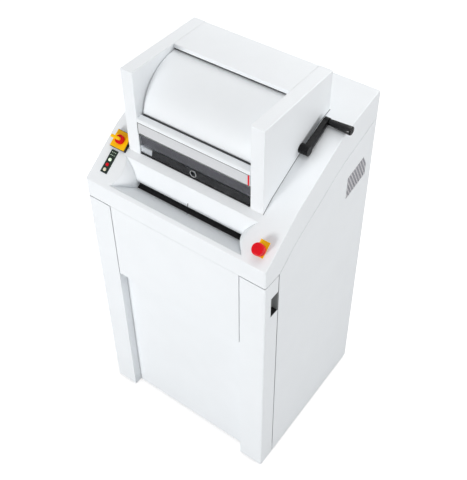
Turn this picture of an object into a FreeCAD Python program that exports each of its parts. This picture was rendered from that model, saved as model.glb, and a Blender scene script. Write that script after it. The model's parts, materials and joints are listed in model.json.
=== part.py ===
import FreeCAD, Part
import math
import os
import Sketcher

# Industrial paper shredder: a sheet-metal cabinet with a hinged front door, a sloping top housing with a
# feed tray, and a tower whose hand-cranked drum drops loose paper into the same cutting unit.
# Millimetres. Origin on the floor under the middle of the cabinet, +X to the right, +Y to the back, +Z up.

Vector = FreeCAD.Vector
doc = FreeCAD.newDocument("paper_shredder")
sheet = doc.addObject("Spreadsheet::Sheet", "dims")

DIMENSIONS = [
    # cabinet
    ("width", 700), ("depth", 612), ("ground_gap", 14), ("cabinet_height", 982), ("seam", 3), ("gauge", 2),
    ("corner_radius", 8), ("edge_radius", 3), ("side_return", 71), ("return_step", 1), ("post_width", 93),
    ("post_depth", 32), ("post_gap", 3), ("upper_panel_height", 318), ("panel_flange", 15),
    ("panel_wing", 24), ("frame_tube", 30), ("tube_wall", 2), ("frame_setback", 9), ("post_drop", 16),
    ("rear_post_drop", 34), ("pan_flange", 23), ("pan_thickness", 3), ("joggle_lap", 12),
    ("joggle_depth", 20), ("rear_lap_inset", 40), ("rear_lap_drop", 15),
    # cable gland in the rear panel
    ("gland_inset", 100), ("gland_rise", 140), ("gland_radius", 12.4), ("gland_bore", 6), ("gland_nut", 16),
    ("gland_length", 22), ("nut_thickness", 7), ("gland_tail", 10),
    # sloping top housing, heights counted from one bend to the next
    ("fascia_height", 73), ("front_slope_run", 161), ("front_slope_rise", 118), ("middle_slope_run", 245),
    ("middle_slope_rise", 123), ("rear_rise", 40), ("skirt_drop", 124), ("rear_skirt_drop", 104),
    # feed tray, slot measured from the front of the cabinet
    ("tray_front", 11), ("tray_run", 88), ("tray_width", 514), ("tray_end_bulge", 19), ("tray_depth", 52),
    ("slot_width", 412), ("slot_gap", 9), ("slot_setback", 74), ("throat_depth", 12),
    # tower and drum
    ("tower_width", 515), ("tower_setback", 118), ("cheek_width", 46), ("cheek_radius", 2.5),
    ("cheek_foot", 5), ("tower_back_gap", 142), ("drum_setback", 309), ("drum_rise", 285),
    ("drum_radius", 163), ("drum_headroom", 20), ("drum_wall", 2), ("drum_end_gap", 5),
    ("drum_clearance", 8), ("mouth_angle", 100), ("mouth_turn", -36), ("mouth_lip", 14), ("drum_disc", 3),
    ("top_panel_back", 20), ("stub_radius", 10), ("bush_wall", 5), ("bush_seat", 6), ("spigot_radius", 8),
    ("running_fit", 0.05), ("free_gap", 0.3),
    # front rail, strip and viewing flap of the tower
    ("flap_height", 81), ("flap_thickness", 4), ("flap_pin_radius", 2.5), ("flap_barrel", 4.5),
    ("flap_lift", 1.5), ("strip_height", 40), ("strip_thickness", 1.6), ("rail_height", 15),
    ("finger_hole", 10.5), ("finger_hole_rise", 21),
    # crank
    ("crank_angle", 24), ("crank_radius", 112), ("crank_standoff", 14), ("crank_thickness", 17),
    ("hub_radius", 16), ("elbow_radius", 12), ("grip_radius", 11), ("grip_length", 78), ("grip_bolt", 4),
    ("bolt_head", 6.5), ("flute_count", 8), ("flute_radius", 3), ("flute_depth", 1.4),
    # controls on the front slope
    ("stop_inset", 46), ("stop_setback", 47), ("stop_offset", 6), ("stop_plate_width", 32),
    ("stop_plate_length", 50), ("stop_plate_thickness", 1.5), ("stop_stem_radius", 11),
    ("mushroom_radius", 19.5), ("mushroom_height", 34.2), ("crown_radius", 6), ("brim_radius", 1.5),
    ("switch_gap", 5.5), ("switch_setback", 128), ("switch_plate", 60), ("switch_base_height", 14),
    ("switch_face", 3), ("switch_rim", 3), ("knob_radius", 15), ("knob_height", 12), ("switch_shaft", 5),
    ("lever_length", 40), ("lever_width", 11), ("lever_height", 9), ("lever_reach", 14),
    ("keypad_inset", 49.5), ("keypad_setback", 66), ("keypad_width", 27), ("keypad_length", 80),
    ("keypad_thickness", 1.6), ("button_radius", 5.5), ("button_height", 4), ("button_pitch", 17.5),
    ("button_shift", 11), ("button_gap", 0.2),
    # cutting unit and its drive
    ("cutter_setback", 246), ("cutter_span", 430), ("cutter_plate", 12), ("plate_front", 24),
    ("plate_back", 14), ("plate_head", 74), ("disc_count", 12), ("disc_gap", 0.8), ("disc_bite", 4),
    ("nip_gap", 3), ("hook_count", 7), ("hook_depth", 7), ("roller_shaft", 16), ("bearing_wall", 6),
    ("tie_rod_radius", 9), ("comb_bar", 6), ("comb_gap", 1.5), ("comb_low", 34), ("comb_high", 20),
    ("tooth_module", 5), ("roller_teeth", 18), ("drive_teeth", 44), ("pinion_teeth", 10), ("gear_face", 16),
    ("gear_gap", 2), ("gear_room", 17.5), ("backlash", 0.5), ("motor_radius", 60), ("motor_length", 250),
    ("motor_drop", 48), ("motor_shaft", 9), ("fin_count", 9), ("fin_height", 5), ("fin_thickness", 5),
    ("fin_pitch", 20), ("control_box_width", 110), ("control_box_depth", 150), ("control_box_height", 190),
    ("control_box_back", 230), ("chute_sheet", 2.6),
    # bay, bin and casters
    ("deck_thickness", 4), ("deck_rise", 24), ("crossbar_height", 40), ("bin_width", 500),
    ("bin_depth", 440), ("bin_wall", 3), ("bin_gap", 8), ("bin_rim", 7), ("rim_height", 14),
    ("glide_width", 40), ("glide_height", 5), ("hand_hole_width", 120), ("hand_hole_height", 26),
    ("hand_hole_drop", 36), ("wheel_radius", 25), ("wheel_width", 20), ("tyre_round", 2.5),
    ("axle_radius", 4), ("caster_trail", 15), ("caster_head", 22), ("caster_stem", 12), ("fork_wall", 3),
    ("caster_inset_side", 60), ("caster_inset_front", 52), ("caster_inset_end", 66),
    # handle, magnets, louvres and hinge
    ("cup_height", 87), ("cup_width", 39), ("cup_depth", 22), ("cup_drop", 71), ("cup_wall", 2),
    ("magnet_height", 60), ("magnet_width", 14), ("hinge_pin_radius", 4), ("hinge_lift", 6),
    ("hinge_cap", 5), ("hinge_ear", 22), ("louvre_count", 11), ("louvre_pitch", 14.6), ("louvre_width", 8),
    ("louvre_lean", 28), ("louvre_field_height", 88), ("louvre_field_width", 116),
    ("louvre_field_rise", 26), ("louvre_back", 40), ("louvre_drop", 119),
]


class Size:
    """A length or angle: its value now and the expression that binds it to the sheet."""

    def __init__(self, value, text):
        self.value = float(value)
        self.text = text

    def __add__(self, other):
        other = as_size(other)
        return Size(self.value + other.value, "(%s + %s)" % (self.text, other.text))

    def __sub__(self, other):
        other = as_size(other)
        return Size(self.value - other.value, "(%s - %s)" % (self.text, other.text))

    def __mul__(self, other):
        other = as_size(other)
        return Size(self.value * other.value, "%s * %s" % (self.text, other.text))

    def __truediv__(self, other):
        other = as_size(other)
        return Size(self.value / other.value, "%s / (%s)" % (self.text, other.text))

    def __neg__(self):
        return Size(-self.value, "(-1 * %s)" % self.text)

    def __radd__(self, other):
        return as_size(other) + self

    def __rsub__(self, other):
        return as_size(other) - self

    def __rmul__(self, other):
        return as_size(other) * self

    def __float__(self):
        return self.value


def as_size(number):
    if isinstance(number, Size):
        return number
    return Size(number, "(%r)" % number if number < 0 else "%r" % number)


def sine(angle):
    return Size(math.sin(math.radians(angle.value)), "sin(%s)" % angle.text)


def cosine(angle):
    return Size(math.cos(math.radians(angle.value)), "cos(%s)" % angle.text)


def root(number):
    return Size(math.sqrt(number.value), "sqrt(%s)" % number.text)


def slope_angle(rise, run):
    return Size(math.degrees(math.atan2(rise.value, run.value)), "atan(%s / (%s))" % (rise.text, run.text))


class Dimensions:
    """The driving dimensions, read back from the sheet by name."""


dims = Dimensions()
for row, (alias, number) in enumerate(DIMENSIONS, start=1):
    sheet.set("A%d" % row, alias)
    sheet.set("B%d" % row, str(number))
    sheet.setAlias("B%d" % row, alias)
doc.recompute()
for alias, number in DIMENSIONS:
    setattr(dims, alias, Size(float(sheet.get(alias)), "dims." + alias))

# How far a cutting tool runs past what it cuts, and how deep a joined piece bites into its neighbour
PAST = 1
BITE = 1

# Corners and bends of the cabinet and its sloping top
HALF = dims.width / 2
FRONT = -1 * dims.depth / 2
BACK = dims.depth / 2
INSIDE = HALF - dims.gauge
INSIDE_BACK = BACK - dims.gauge
SEAM_Z = dims.ground_gap + dims.cabinet_height
HOUSING_Z = SEAM_Z + dims.seam
EDGE_Z = SEAM_Z + dims.fascia_height
BEND_Y = FRONT + dims.front_slope_run
BEND_Z = EDGE_Z + dims.front_slope_rise
KNEE_Y = BEND_Y + dims.middle_slope_run
KNEE_Z = BEND_Z + dims.middle_slope_rise
REAR_Z = KNEE_Z + dims.rear_rise
SKIRT_REAR_Z = REAR_Z - dims.rear_skirt_drop
SLOPE = dims.front_slope_rise / dims.front_slope_run
SLOPE_ANGLE = slope_angle(dims.front_slope_rise, dims.front_slope_run)
MIDDLE_SLOPE = dims.middle_slope_rise / dims.middle_slope_run
REAR_SLOPE = dims.rear_rise / (BACK - KNEE_Y)


def slope_z(y):
    """Height of the front slope at a depth."""
    return EDGE_Z + (y - FRONT) * SLOPE


def middle_z(y):
    return BEND_Z + (y - BEND_Y) * MIDDLE_SLOPE


def rear_z(y):
    return KNEE_Z + (y - KNEE_Y) * REAR_SLOPE


# Front of the cabinet: door posts, recessed panel, the bar of the frame behind them, and the hinge
RETURN_Y = FRONT + dims.side_return
PANEL_Y = RETURN_Y + dims.seam + dims.return_step
RECESS_Y = FRONT + dims.post_depth
POST_IN = HALF - dims.post_width
PANEL_LOW_Z = SEAM_Z - dims.upper_panel_height
FRAME_Y = RETURN_Y + dims.frame_setback
TUBE_BACK = FRAME_Y + dims.frame_tube
POST_TOP = SEAM_Z - dims.post_drop
HINGE_INSET = dims.gauge + dims.hinge_pin_radius
HINGE_X = HALF - HINGE_INSET
HINGE_Y = RETURN_Y - HINGE_INSET
CUP_TOP = SEAM_Z - dims.cup_drop

# Floors inside: pan over the casters, crossbar under the deck, deck under the cutting unit
BAY_Z = dims.wheel_radius * 2 + dims.caster_head
CROSSBAR_TOP = PANEL_LOW_Z + dims.gauge + dims.crossbar_height
DECK_Z = CROSSBAR_TOP + dims.deck_rise
DECK_TOP = DECK_Z + dims.deck_thickness

# Tower and drum
TOWER_Y = FRONT + dims.tower_setback
TOWER_BACK = BACK - dims.tower_back_gap
TOWER_HALF = dims.tower_width / 2
CHEEK_IN = TOWER_HALF - dims.cheek_width
DRUM_Y = FRONT + dims.drum_setback
DRUM_Z = SEAM_Z + dims.drum_rise
TOWER_Z = DRUM_Z + dims.drum_radius + dims.drum_headroom
DISC_FACE = CHEEK_IN - dims.drum_end_gap
BUSH_RADIUS = dims.stub_radius + dims.bush_wall
BLIND_X = -1 * TOWER_HALF + dims.gauge + dims.bush_seat
HUB_X = TOWER_HALF + 0.4
ARM_X = HUB_X + dims.crank_standoff
BOLT_X = ARM_X + dims.crank_thickness + 1
SPIGOT_END = TOWER_HALF + dims.crank_standoff + 9

# Window flap, strip and rail between the cheeks, from the slope up
FLAP_Y = TOWER_Y + dims.flap_barrel + 0.5
FLAP_LOW = slope_z(TOWER_Y + dims.flap_thickness + 1) + dims.flap_lift
FLAP_PIN_Z = FLAP_LOW + dims.flap_height - dims.flap_barrel
STRIP_Z = FLAP_LOW + dims.flap_height + 1
RAIL_Z = STRIP_Z + dims.strip_height
LEDGE_Z = RAIL_Z + dims.rail_height

# Tray and controls on the front slope
TRAY_FRONT_Y = FRONT + dims.tray_front
TRAY_BACK_Y = TRAY_FRONT_Y + dims.tray_run
SLOT_Y = FRONT + dims.slot_setback
SLOT_Z = slope_z(SLOT_Y) - dims.tray_depth
STOP_X = HALF - dims.stop_inset
STOP_Y = FRONT + dims.stop_setback
STOP_AXIS_Y = STOP_Y - dims.stop_offset
SWITCH_X = -1 * (TOWER_HALF + dims.switch_gap + dims.switch_plate / 2)
SWITCH_Y = FRONT + dims.switch_setback
KEYPAD_X = -1 * HALF + dims.keypad_inset
KEYPAD_Y = FRONT + dims.keypad_setback

# Heights along the slope's normal: the stop's plunger, the gap round it, and the sheet's underside
PLUNGER_LOW = -18
PLUNGER_TOP = 15
STEM_GAP = 0.5
UNDERSIDE = dims.gauge * -1.05

# Rollers a gear pair apart with discs that bite past each other, and a drive gear clear of the deck
ADDENDUM = 0.9
DEDENDUM = 1.15
PRESSURE_ANGLE = 20
ROLLER_PITCH = dims.tooth_module * dims.roller_teeth
DISC_RADIUS = ROLLER_PITCH / 2 + dims.disc_bite
SPACER_RADIUS = ROLLER_PITCH - DISC_RADIUS - dims.nip_gap
CUTTER_REACH = ROLLER_PITCH / 2 + DISC_RADIUS
CUTTER_HALF = dims.cutter_span / 2
CUTTER_OUT = CUTTER_HALF + dims.cutter_plate
DISC_PITCH = dims.cutter_span / dims.disc_count
DISC_THICK = DISC_PITCH / 2 - dims.disc_gap
ROLLER_Z = DECK_TOP + dims.tooth_module * (dims.drive_teeth / 2 + ADDENDUM) + dims.gear_room
CUTTER_Y = FRONT + dims.cutter_setback
FRONT_ROLLER_Y = CUTTER_Y - ROLLER_PITCH / 2
REAR_ROLLER_Y = CUTTER_Y + ROLLER_PITCH / 2
GEAR_X = CUTTER_OUT + dims.gear_gap
DRIVE_GEAR_X = GEAR_X + dims.gear_face + dims.gear_gap * 2
MOTOR_SPACING = dims.tooth_module * (dims.drive_teeth + dims.pinion_teeth) / 2
MOTOR_Z = ROLLER_Z - dims.motor_drop
MOTOR_Y = REAR_ROLLER_Y + root(MOTOR_SPACING * MOTOR_SPACING - dims.motor_drop * dims.motor_drop)

parts = []


def keep(thing, label):
    thing.Label = label
    parts.append(thing)
    return thing


def place(thing, corner, turn=None, angle=None):
    """Bind a position, and optionally a turn about an axis, to the sheet."""
    if turn is not None:
        thing.Placement = FreeCAD.Placement(Vector(), FreeCAD.Rotation(Vector(*turn), float(angle)))
        if isinstance(angle, Size):
            thing.setExpression("Placement.Rotation.Angle", angle.text)
    for axis, number in zip("xyz", corner):
        thing.setExpression("Placement.Base." + axis, as_size(number).text)
    return thing


def box(low, high):
    solid = doc.addObject("Part::Box", "block")
    for side, start, end in zip(("Length", "Width", "Height"), low, high):
        solid.setExpression(side, (as_size(end) - start).text)
    return place(solid, low)


def rod(start, radius, length, axis="z"):
    solid = doc.addObject("Part::Cylinder", "rod")
    solid.setExpression("Radius", as_size(radius).text)
    solid.setExpression("Height", as_size(length).text)
    if axis == "x":
        return place(solid, start, (0, 1, 0), 90)
    if axis == "y":
        return place(solid, start, (1, 0, 0), -90)
    return place(solid, start)


def join(pieces):
    solid = doc.addObject("Part::MultiFuse", "joined")
    solid.Shapes = list(pieces)
    solid.Refine = True
    return solid


def group(pieces):
    solid = doc.addObject("Part::Compound", "set")
    solid.Links = list(pieces)
    return solid


def cut(base, tools):
    solid = doc.addObject("Part::Cut", "trimmed")
    solid.Base = base
    solid.Tool = tools[0] if len(tools) == 1 else group(tools)
    return solid


def common(first, second):
    solid = doc.addObject("Part::Common", "shared")
    solid.Base = first
    solid.Tool = second
    return solid


def tube(low, high, wall, along):
    """A square tube, open at both ends of one axis."""
    inner_low = [corner - PAST if axis == along else corner + wall for axis, corner in zip("xyz", low)]
    inner_high = [corner + PAST if axis == along else corner - wall for axis, corner in zip("xyz", high)]
    return cut(box(low, high), [box(inner_low, inner_high)])


def outline(body, plane, vertices):
    """A closed sketch of straight sides on one of the body's planes, each corner bound to the sheet."""
    sketch = body.newObject("Sketcher::SketchObject", body.Name + "_outline")
    support = [part for part in body.Origin.OriginFeatures if part.Role == plane][0]
    sketch.AttachmentSupport = [(support, "")]
    sketch.MapMode = "FlatFace"
    count = len(vertices)
    flat = [(float(across), float(up)) for across, up in vertices]
    for i in range(count):
        sketch.addGeometry(Part.LineSegment(Vector(*flat[i], 0), Vector(*flat[(i + 1) % count], 0)), False)
    for i in range(count):
        sketch.addConstraint(Sketcher.Constraint("Coincident", i, 2, (i + 1) % count, 1))
        for kind, number in zip(("DistanceX", "DistanceY"), vertices[i]):
            index = sketch.addConstraint(Sketcher.Constraint(kind, -1, 1, i, 1, float(number)))
            sketch.setExpression("Constraints[%d]" % index, as_size(number).text)
    return sketch


def slab(name, plane, vertices, length):
    """A body padded from an outline, to both sides of its plane."""
    body = doc.addObject("PartDesign::Body", name)
    pad = body.newObject("PartDesign::Pad", name + "_pad")
    pad.Profile = outline(body, plane, vertices)
    pad.Midplane = True
    pad.setExpression("Length", as_size(length).text)
    return body


def shift(thing, x=0, y=0, z=0):
    return place(thing, (x, y, z))


def rounded(base, picks, radius):
    """Round the straight edges whose middles lie at the picked points."""
    doc.recompute()
    chosen = []
    for number, edge in enumerate(base.Shape.Edges, start=1):
        middle = edge.valueAt((edge.FirstParameter + edge.LastParameter) / 2)
        for pick in picks:
            if all(want is None or abs(float(want) - have) < 0.6 for want, have in zip(pick, middle)):
                chosen.append((number, float(radius), float(radius)))
                break
    solid = doc.addObject("Part::Fillet", "rounded")
    solid.Base = base
    solid.Edges = chosen
    return solid


def mirrored(thing):
    solid = doc.addObject("Part::Mirroring", "mirrored")
    solid.Source = thing
    solid.Normal = Vector(1, 0, 0)
    return solid


def on_slope(thing, x, y, lift=0):
    """Stand a piece on the front slope at (x, y), its own +Z along the slope's normal."""
    rise = cosine(SLOPE_ANGLE) * lift
    back = -1 * sine(SLOPE_ANGLE) * lift
    return place(thing, (x, y + back, slope_z(y) + rise), (1, 0, 0), SLOPE_ANGLE)


def slope_box(x, y, low, high, size_x, size_y):
    """A block lying on the front slope, centred on (x, y), between two heights along the normal."""
    solid = doc.addObject("Part::Box", "slope_block")
    solid.setExpression("Length", as_size(size_x).text)
    solid.setExpression("Width", as_size(size_y).text)
    solid.setExpression("Height", (as_size(high) - low).text)
    start = y - cosine(SLOPE_ANGLE) * size_y / 2
    return on_slope(solid, x - as_size(size_x) / 2, start, low)


def slope_rod(x, y, low, high, radius):
    solid = doc.addObject("Part::Cylinder", "slope_rod")
    solid.setExpression("Radius", as_size(radius).text)
    solid.setExpression("Height", (as_size(high) - low).text)
    return on_slope(solid, x, y, low)


def base_pan():
    """A plate over the casters with its edges turned down."""
    low = BAY_Z - dims.pan_flange
    wall = dims.gauge
    outer = box((-1 * INSIDE, FRAME_Y, low), (INSIDE, INSIDE_BACK, BAY_Z))
    inner = box((-1 * INSIDE + wall, FRAME_Y + wall, low - PAST),
                (INSIDE - wall, INSIDE_BACK - wall, BAY_Z - dims.pan_thickness))
    keep(cut(outer, [inner]), "base_pan")


def side_outline():
    """Side view of a cabinet side, up to a seam below the housing's skirt."""
    gap = dims.seam
    return [(PANEL_Y, dims.ground_gap), (BACK, dims.ground_gap), (BACK, SKIRT_REAR_Z - gap),
            (KNEE_Y, KNEE_Z - dims.skirt_drop - gap), (BEND_Y, BEND_Z - dims.skirt_drop - gap),
            (PANEL_Y, HOUSING_Z - gap)]


def joggle_outline():
    """The strip inside the side's upper edge, which the skirt of the housing closes over."""
    drop = dims.joggle_depth
    low = [(PANEL_Y + 32, HOUSING_Z - 14), (BEND_Y, BEND_Z - dims.skirt_drop - drop),
           (KNEE_Y, KNEE_Z - dims.skirt_drop - drop), (BACK - dims.gauge * 2, SKIRT_REAR_Z - drop)]
    high = [(y, z + drop + dims.joggle_lap) for y, z in reversed(low)]
    return low + high


def side_panel(sign, name):
    skin = slab(name + "_skin", "YZ_Plane", side_outline(), dims.gauge)
    shift(skin, x=sign * (HALF - dims.gauge / 2))
    strip = slab(name + "_strip", "YZ_Plane", joggle_outline(), dims.gauge)
    shift(strip, x=sign * (HALF - dims.gauge * 1.5))
    return join([skin, strip])


def louvre_tools():
    """Slanted vent slots, each trimmed by the field they fill."""
    reach = 20
    back = BACK - dims.louvre_back
    front = back - dims.louvre_field_width
    top = SKIRT_REAR_Z - dims.louvre_drop
    height = dims.louvre_field_height
    rise = dims.louvre_field_rise
    field = slab("louvre_field", "YZ_Plane", [
        (front, top - rise - height), (back, top - height), (back, top), (front, top - rise)], reach)
    shift(field, x=HALF)
    tools = []
    for i in range(int(float(dims.louvre_count))):
        slot = doc.addObject("Part::Box", "louvre")
        slot.Length = reach
        slot.setExpression("Width", dims.louvre_width.text)
        slot.setExpression("Height", (height * 2).text)
        start = front + dims.louvre_pitch * (i + 0.5)
        place(slot, (HALF - reach / 2, start, top - height * 1.5), (1, 0, 0), dims.louvre_lean)
        tools.append(slot)
    return common(group(tools), field)


def cabinet_sides():
    keep(side_panel(-1, "left_side"), "left_side_panel")
    keep(cut(side_panel(1, "right_side"), [louvre_tools()]), "right_side_panel")


def rear_panel():
    """Rear sheet with a strip that laps behind the housing, and the gland for the mains cable."""
    top = SKIRT_REAR_Z - dims.seam
    x = -1 * HALF + dims.gland_inset
    z = dims.ground_gap + dims.gland_rise
    plate = box((-1 * INSIDE, INSIDE_BACK, dims.ground_gap), (INSIDE, BACK, top))
    hole = rod((x, INSIDE_BACK - PAST, z), dims.gland_radius + 0.1, dims.gauge + PAST * 2, "y")
    edge = INSIDE - dims.rear_lap_inset
    strip = box((-1 * edge, INSIDE_BACK - dims.gauge, top - dims.rear_lap_drop),
                (edge, INSIDE_BACK, top + dims.joggle_lap))
    keep(join([cut(plate, [hole]), strip]), "rear_panel")
    collar = rod((x, BACK - dims.gland_tail, z), dims.gland_radius, dims.gland_length, "y")
    nut = rod((x, BACK, z), dims.gland_nut, dims.nut_thickness, "y")
    bore = rod((x, BACK - dims.gland_tail - PAST, z), dims.gland_bore, dims.gland_length + PAST * 2, "y")
    keep(cut(join([collar, nut]), [bore]), "cable_gland")


def frame():
    """Four upright tubes on the pan and two crossbars between the front pair."""
    side = dims.frame_tube
    wall = dims.tube_wall
    posts = []
    rear_top = SKIRT_REAR_Z - dims.rear_post_drop
    for low_y, top in ((FRAME_Y, POST_TOP), (INSIDE_BACK - side, rear_top)):
        for low_x in (-1 * INSIDE, INSIDE - side):
            posts.append(tube((low_x, low_y, BAY_Z), (low_x + side, low_y + side, top), wall, "z"))
    keep(group(posts), "frame_posts")
    span = INSIDE - side
    bars = []
    for top in (SEAM_Z - dims.gauge, CROSSBAR_TOP):
        low = top - dims.crossbar_height
        bars.append(tube((-1 * span, FRAME_Y, low), (span, TUBE_BACK, top), wall, "x"))
    keep(group(bars), "frame_crossbars")


def upper_front_panel():
    """Fixed panel between the door's posts: a tray whose top and bottom flanges reach the crossbars."""
    edge = POST_IN - dims.post_gap
    wall = dims.gauge
    overlap = 20
    side_flange = 8
    outer = box((-1 * edge, FRONT, PANEL_LOW_Z), (edge, FRAME_Y + overlap, SEAM_Z))
    inner = box((-1 * edge + wall, FRONT + wall, PANEL_LOW_Z + wall),
                (edge - wall, FRAME_Y + overlap + PAST, SEAM_Z - wall))
    back = FRAME_Y + overlap + PAST
    trims = []
    for low_x, high_x in ((-1 * edge - PAST, -1 * edge + side_flange), (edge - side_flange, edge + PAST)):
        trims.append(box((low_x, RECESS_Y, PANEL_LOW_Z + wall), (high_x, back, SEAM_Z - wall)))
    keep(cut(outer, [inner] + trims), "upper_front_panel")


def post_shell():
    """The hollow box of a door post, its outer front corner rounded."""
    wall = dims.gauge
    low = dims.ground_gap
    outer = box((POST_IN, FRONT, low), (HALF, RECESS_Y, SEAM_Z))
    outer = rounded(outer, [(HALF, FRONT, None)], dims.corner_radius)
    core = box((POST_IN + wall, FRONT + wall, low - PAST), (HALF - wall, RECESS_Y - wall, SEAM_Z + PAST))
    core = rounded(core, [(HALF - wall, FRONT + wall, None)], dims.corner_radius - wall)
    return cut(outer, [core])


def hinge_post():
    """Post on the hinge side, its return curled round the pivot pins and closed by an ear at each end."""
    wall = dims.gauge
    cap = dims.hinge_cap
    low = dims.ground_gap + dims.hinge_lift
    side = box((HALF - wall, RECESS_Y - BITE, low), (HALF, HINGE_Y, SEAM_Z))
    curl = rod((HINGE_X, HINGE_Y, low), HINGE_INSET, SEAM_Z - low)
    slot = box((HINGE_X - HINGE_INSET - PAST, HINGE_Y - HINGE_INSET - PAST, low + cap),
               (HINGE_X, HINGE_Y + HINGE_INSET + PAST, SEAM_Z - cap))
    inside = rod((HINGE_X, HINGE_Y, low + cap), HINGE_INSET - wall, SEAM_Z - low - cap * 2)
    ears = []
    for level in (low, SEAM_Z - cap):
        start = HINGE_X - dims.hinge_ear
        ears.append(box((start, RECESS_Y - BITE, level), (HALF - wall / 2, HINGE_Y, level + cap)))
        ears.append(box((start, HINGE_Y - BITE, level), (HINGE_X, RETURN_Y, level + cap)))
    bore = rod((HINGE_X, HINGE_Y, low - PAST), dims.hinge_pin_radius + dims.running_fit,
               SEAM_Z - low + PAST * 2)
    return mirrored(cut(join([post_shell(), side, cut(curl, [slot, inside])] + ears), [bore]))


def grip_post():
    """Post on the opening side, with a flange to the magnets and a notch for the grip cup."""
    low = dims.ground_gap
    flange_width = 14
    side = box((INSIDE, RECESS_Y - BITE, low), (HALF, RETURN_Y, SEAM_Z))
    flange = box((HALF - flange_width, RETURN_Y - dims.gauge, low), (HALF, RETURN_Y, SEAM_Z))
    notch = box((HALF - dims.cup_depth, RETURN_Y - dims.cup_width, CUP_TOP - dims.cup_height),
                (HALF + PAST, RETURN_Y + PAST, CUP_TOP))
    return cut(join([post_shell(), side, flange]), [notch])


def door():
    """U-shaped door: two posts and a recessed panel between them, with a grip cup in the right return."""
    keep(hinge_post(), "door_left_post")
    keep(grip_post(), "door_right_post")
    wall = dims.gauge
    low = dims.ground_gap
    top = PANEL_LOW_Z - dims.seam
    outer = box((-1 * POST_IN, RECESS_Y, low), (POST_IN, RECESS_Y + dims.panel_flange, top))
    inner = box((-1 * POST_IN + wall, RECESS_Y + wall, low + wall),
                (POST_IN - wall, RECESS_Y + dims.panel_flange + PAST, top - wall))
    wings = []
    for low_x in (-1 * POST_IN - dims.panel_wing, POST_IN - BITE):
        wings.append(box((low_x, RECESS_Y, low + 20), (low_x + dims.panel_wing + BITE, RECESS_Y + wall, top)))
    keep(join([cut(outer, [inner])] + wings), "door_panel")
    wall = dims.cup_wall
    low = (HALF - dims.cup_depth, RETURN_Y - dims.cup_width, CUP_TOP - dims.cup_height)
    high = (HALF - 0.5, RETURN_Y - 0.2, CUP_TOP)
    hollow = box([start + wall for start in low], (high[0] + PAST, high[1] - wall, high[2] - wall))
    keep(cut(box(low, high), [hollow]), "door_grip_cup")


def door_fittings():
    """Pivot brackets with their pins, and the magnets that hold the door shut."""
    x = -1 * HINGE_X
    y = HINGE_Y
    plate = 5
    web = 6
    pin_rise = 11
    low = dims.ground_gap
    inner = -1 * HALF + dims.gauge * 2 + dims.free_gap
    wide = inner + 26
    front = y - plate
    foot = box((inner, front, low), (wide, FRAME_Y + 4 + web, low + plate + 0.7))
    lower_web = box((inner, FRAME_Y + 4, low + plate), (wide, FRAME_Y + 4 + web, BAY_Z - dims.pan_thickness))
    lower = join([foot, lower_web, rod((x, y, low + plate), dims.hinge_pin_radius, pin_rise)])
    head = box((inner, front, SEAM_Z + plate), (wide, FRAME_Y + 18 + web, SEAM_Z + plate * 2))
    upper_web = box((inner, FRAME_Y + 18, POST_TOP), (wide, FRAME_Y + 18 + web, SEAM_Z + plate + BITE))
    upper = join([head, upper_web, rod((x, y, SEAM_Z - plate), dims.hinge_pin_radius, pin_rise)])
    keep(group([lower, upper]), "door_pivot_brackets")
    catches = []
    outer = INSIDE - 1
    for level in (low + 160, SEAM_Z - 260):
        catches.append(box((outer - dims.magnet_width, RETURN_Y + dims.free_gap, level),
                           (outer, FRAME_Y, level + dims.magnet_height)))
    keep(group(catches), "door_magnets")


def profile(inset, low):
    """Side view of the sloping housing, drawn in by a wall thickness."""
    drop = inset / cosine(SLOPE_ANGLE)
    return [(FRONT + inset, low), (FRONT + inset, slope_z(FRONT + inset) - drop), (BEND_Y, BEND_Z - drop),
            (KNEE_Y, KNEE_Z - drop), (BACK - inset, rear_z(BACK - inset) - drop), (BACK - inset, low)]


def edges_where(shape, wanted):
    """Names of the edges whose middle points pass a test."""
    names = []
    for number, edge in enumerate(shape.Edges, start=1):
        if wanted(edge.valueAt((edge.FirstParameter + edge.LastParameter) / 2), edge):
            names.append("Edge%d" % number)
    return names


def top_height(y):
    """Height of the housing's top at a depth."""
    if y < float(BEND_Y):
        return float(EDGE_Z) + (y - float(FRONT)) * float(SLOPE)
    if y < float(KNEE_Y):
        return float(BEND_Z) + (y - float(BEND_Y)) * float(MIDDLE_SLOPE)
    return float(KNEE_Z) + (y - float(KNEE_Y)) * float(REAR_SLOPE)


def round_edges(body, base, name, radius, wanted):
    fillet = body.newObject("PartDesign::Fillet", name)
    fillet.Base = (base, edges_where(base.Shape, wanted))
    fillet.setExpression("Radius", radius.text)
    doc.recompute()
    return fillet


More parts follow.
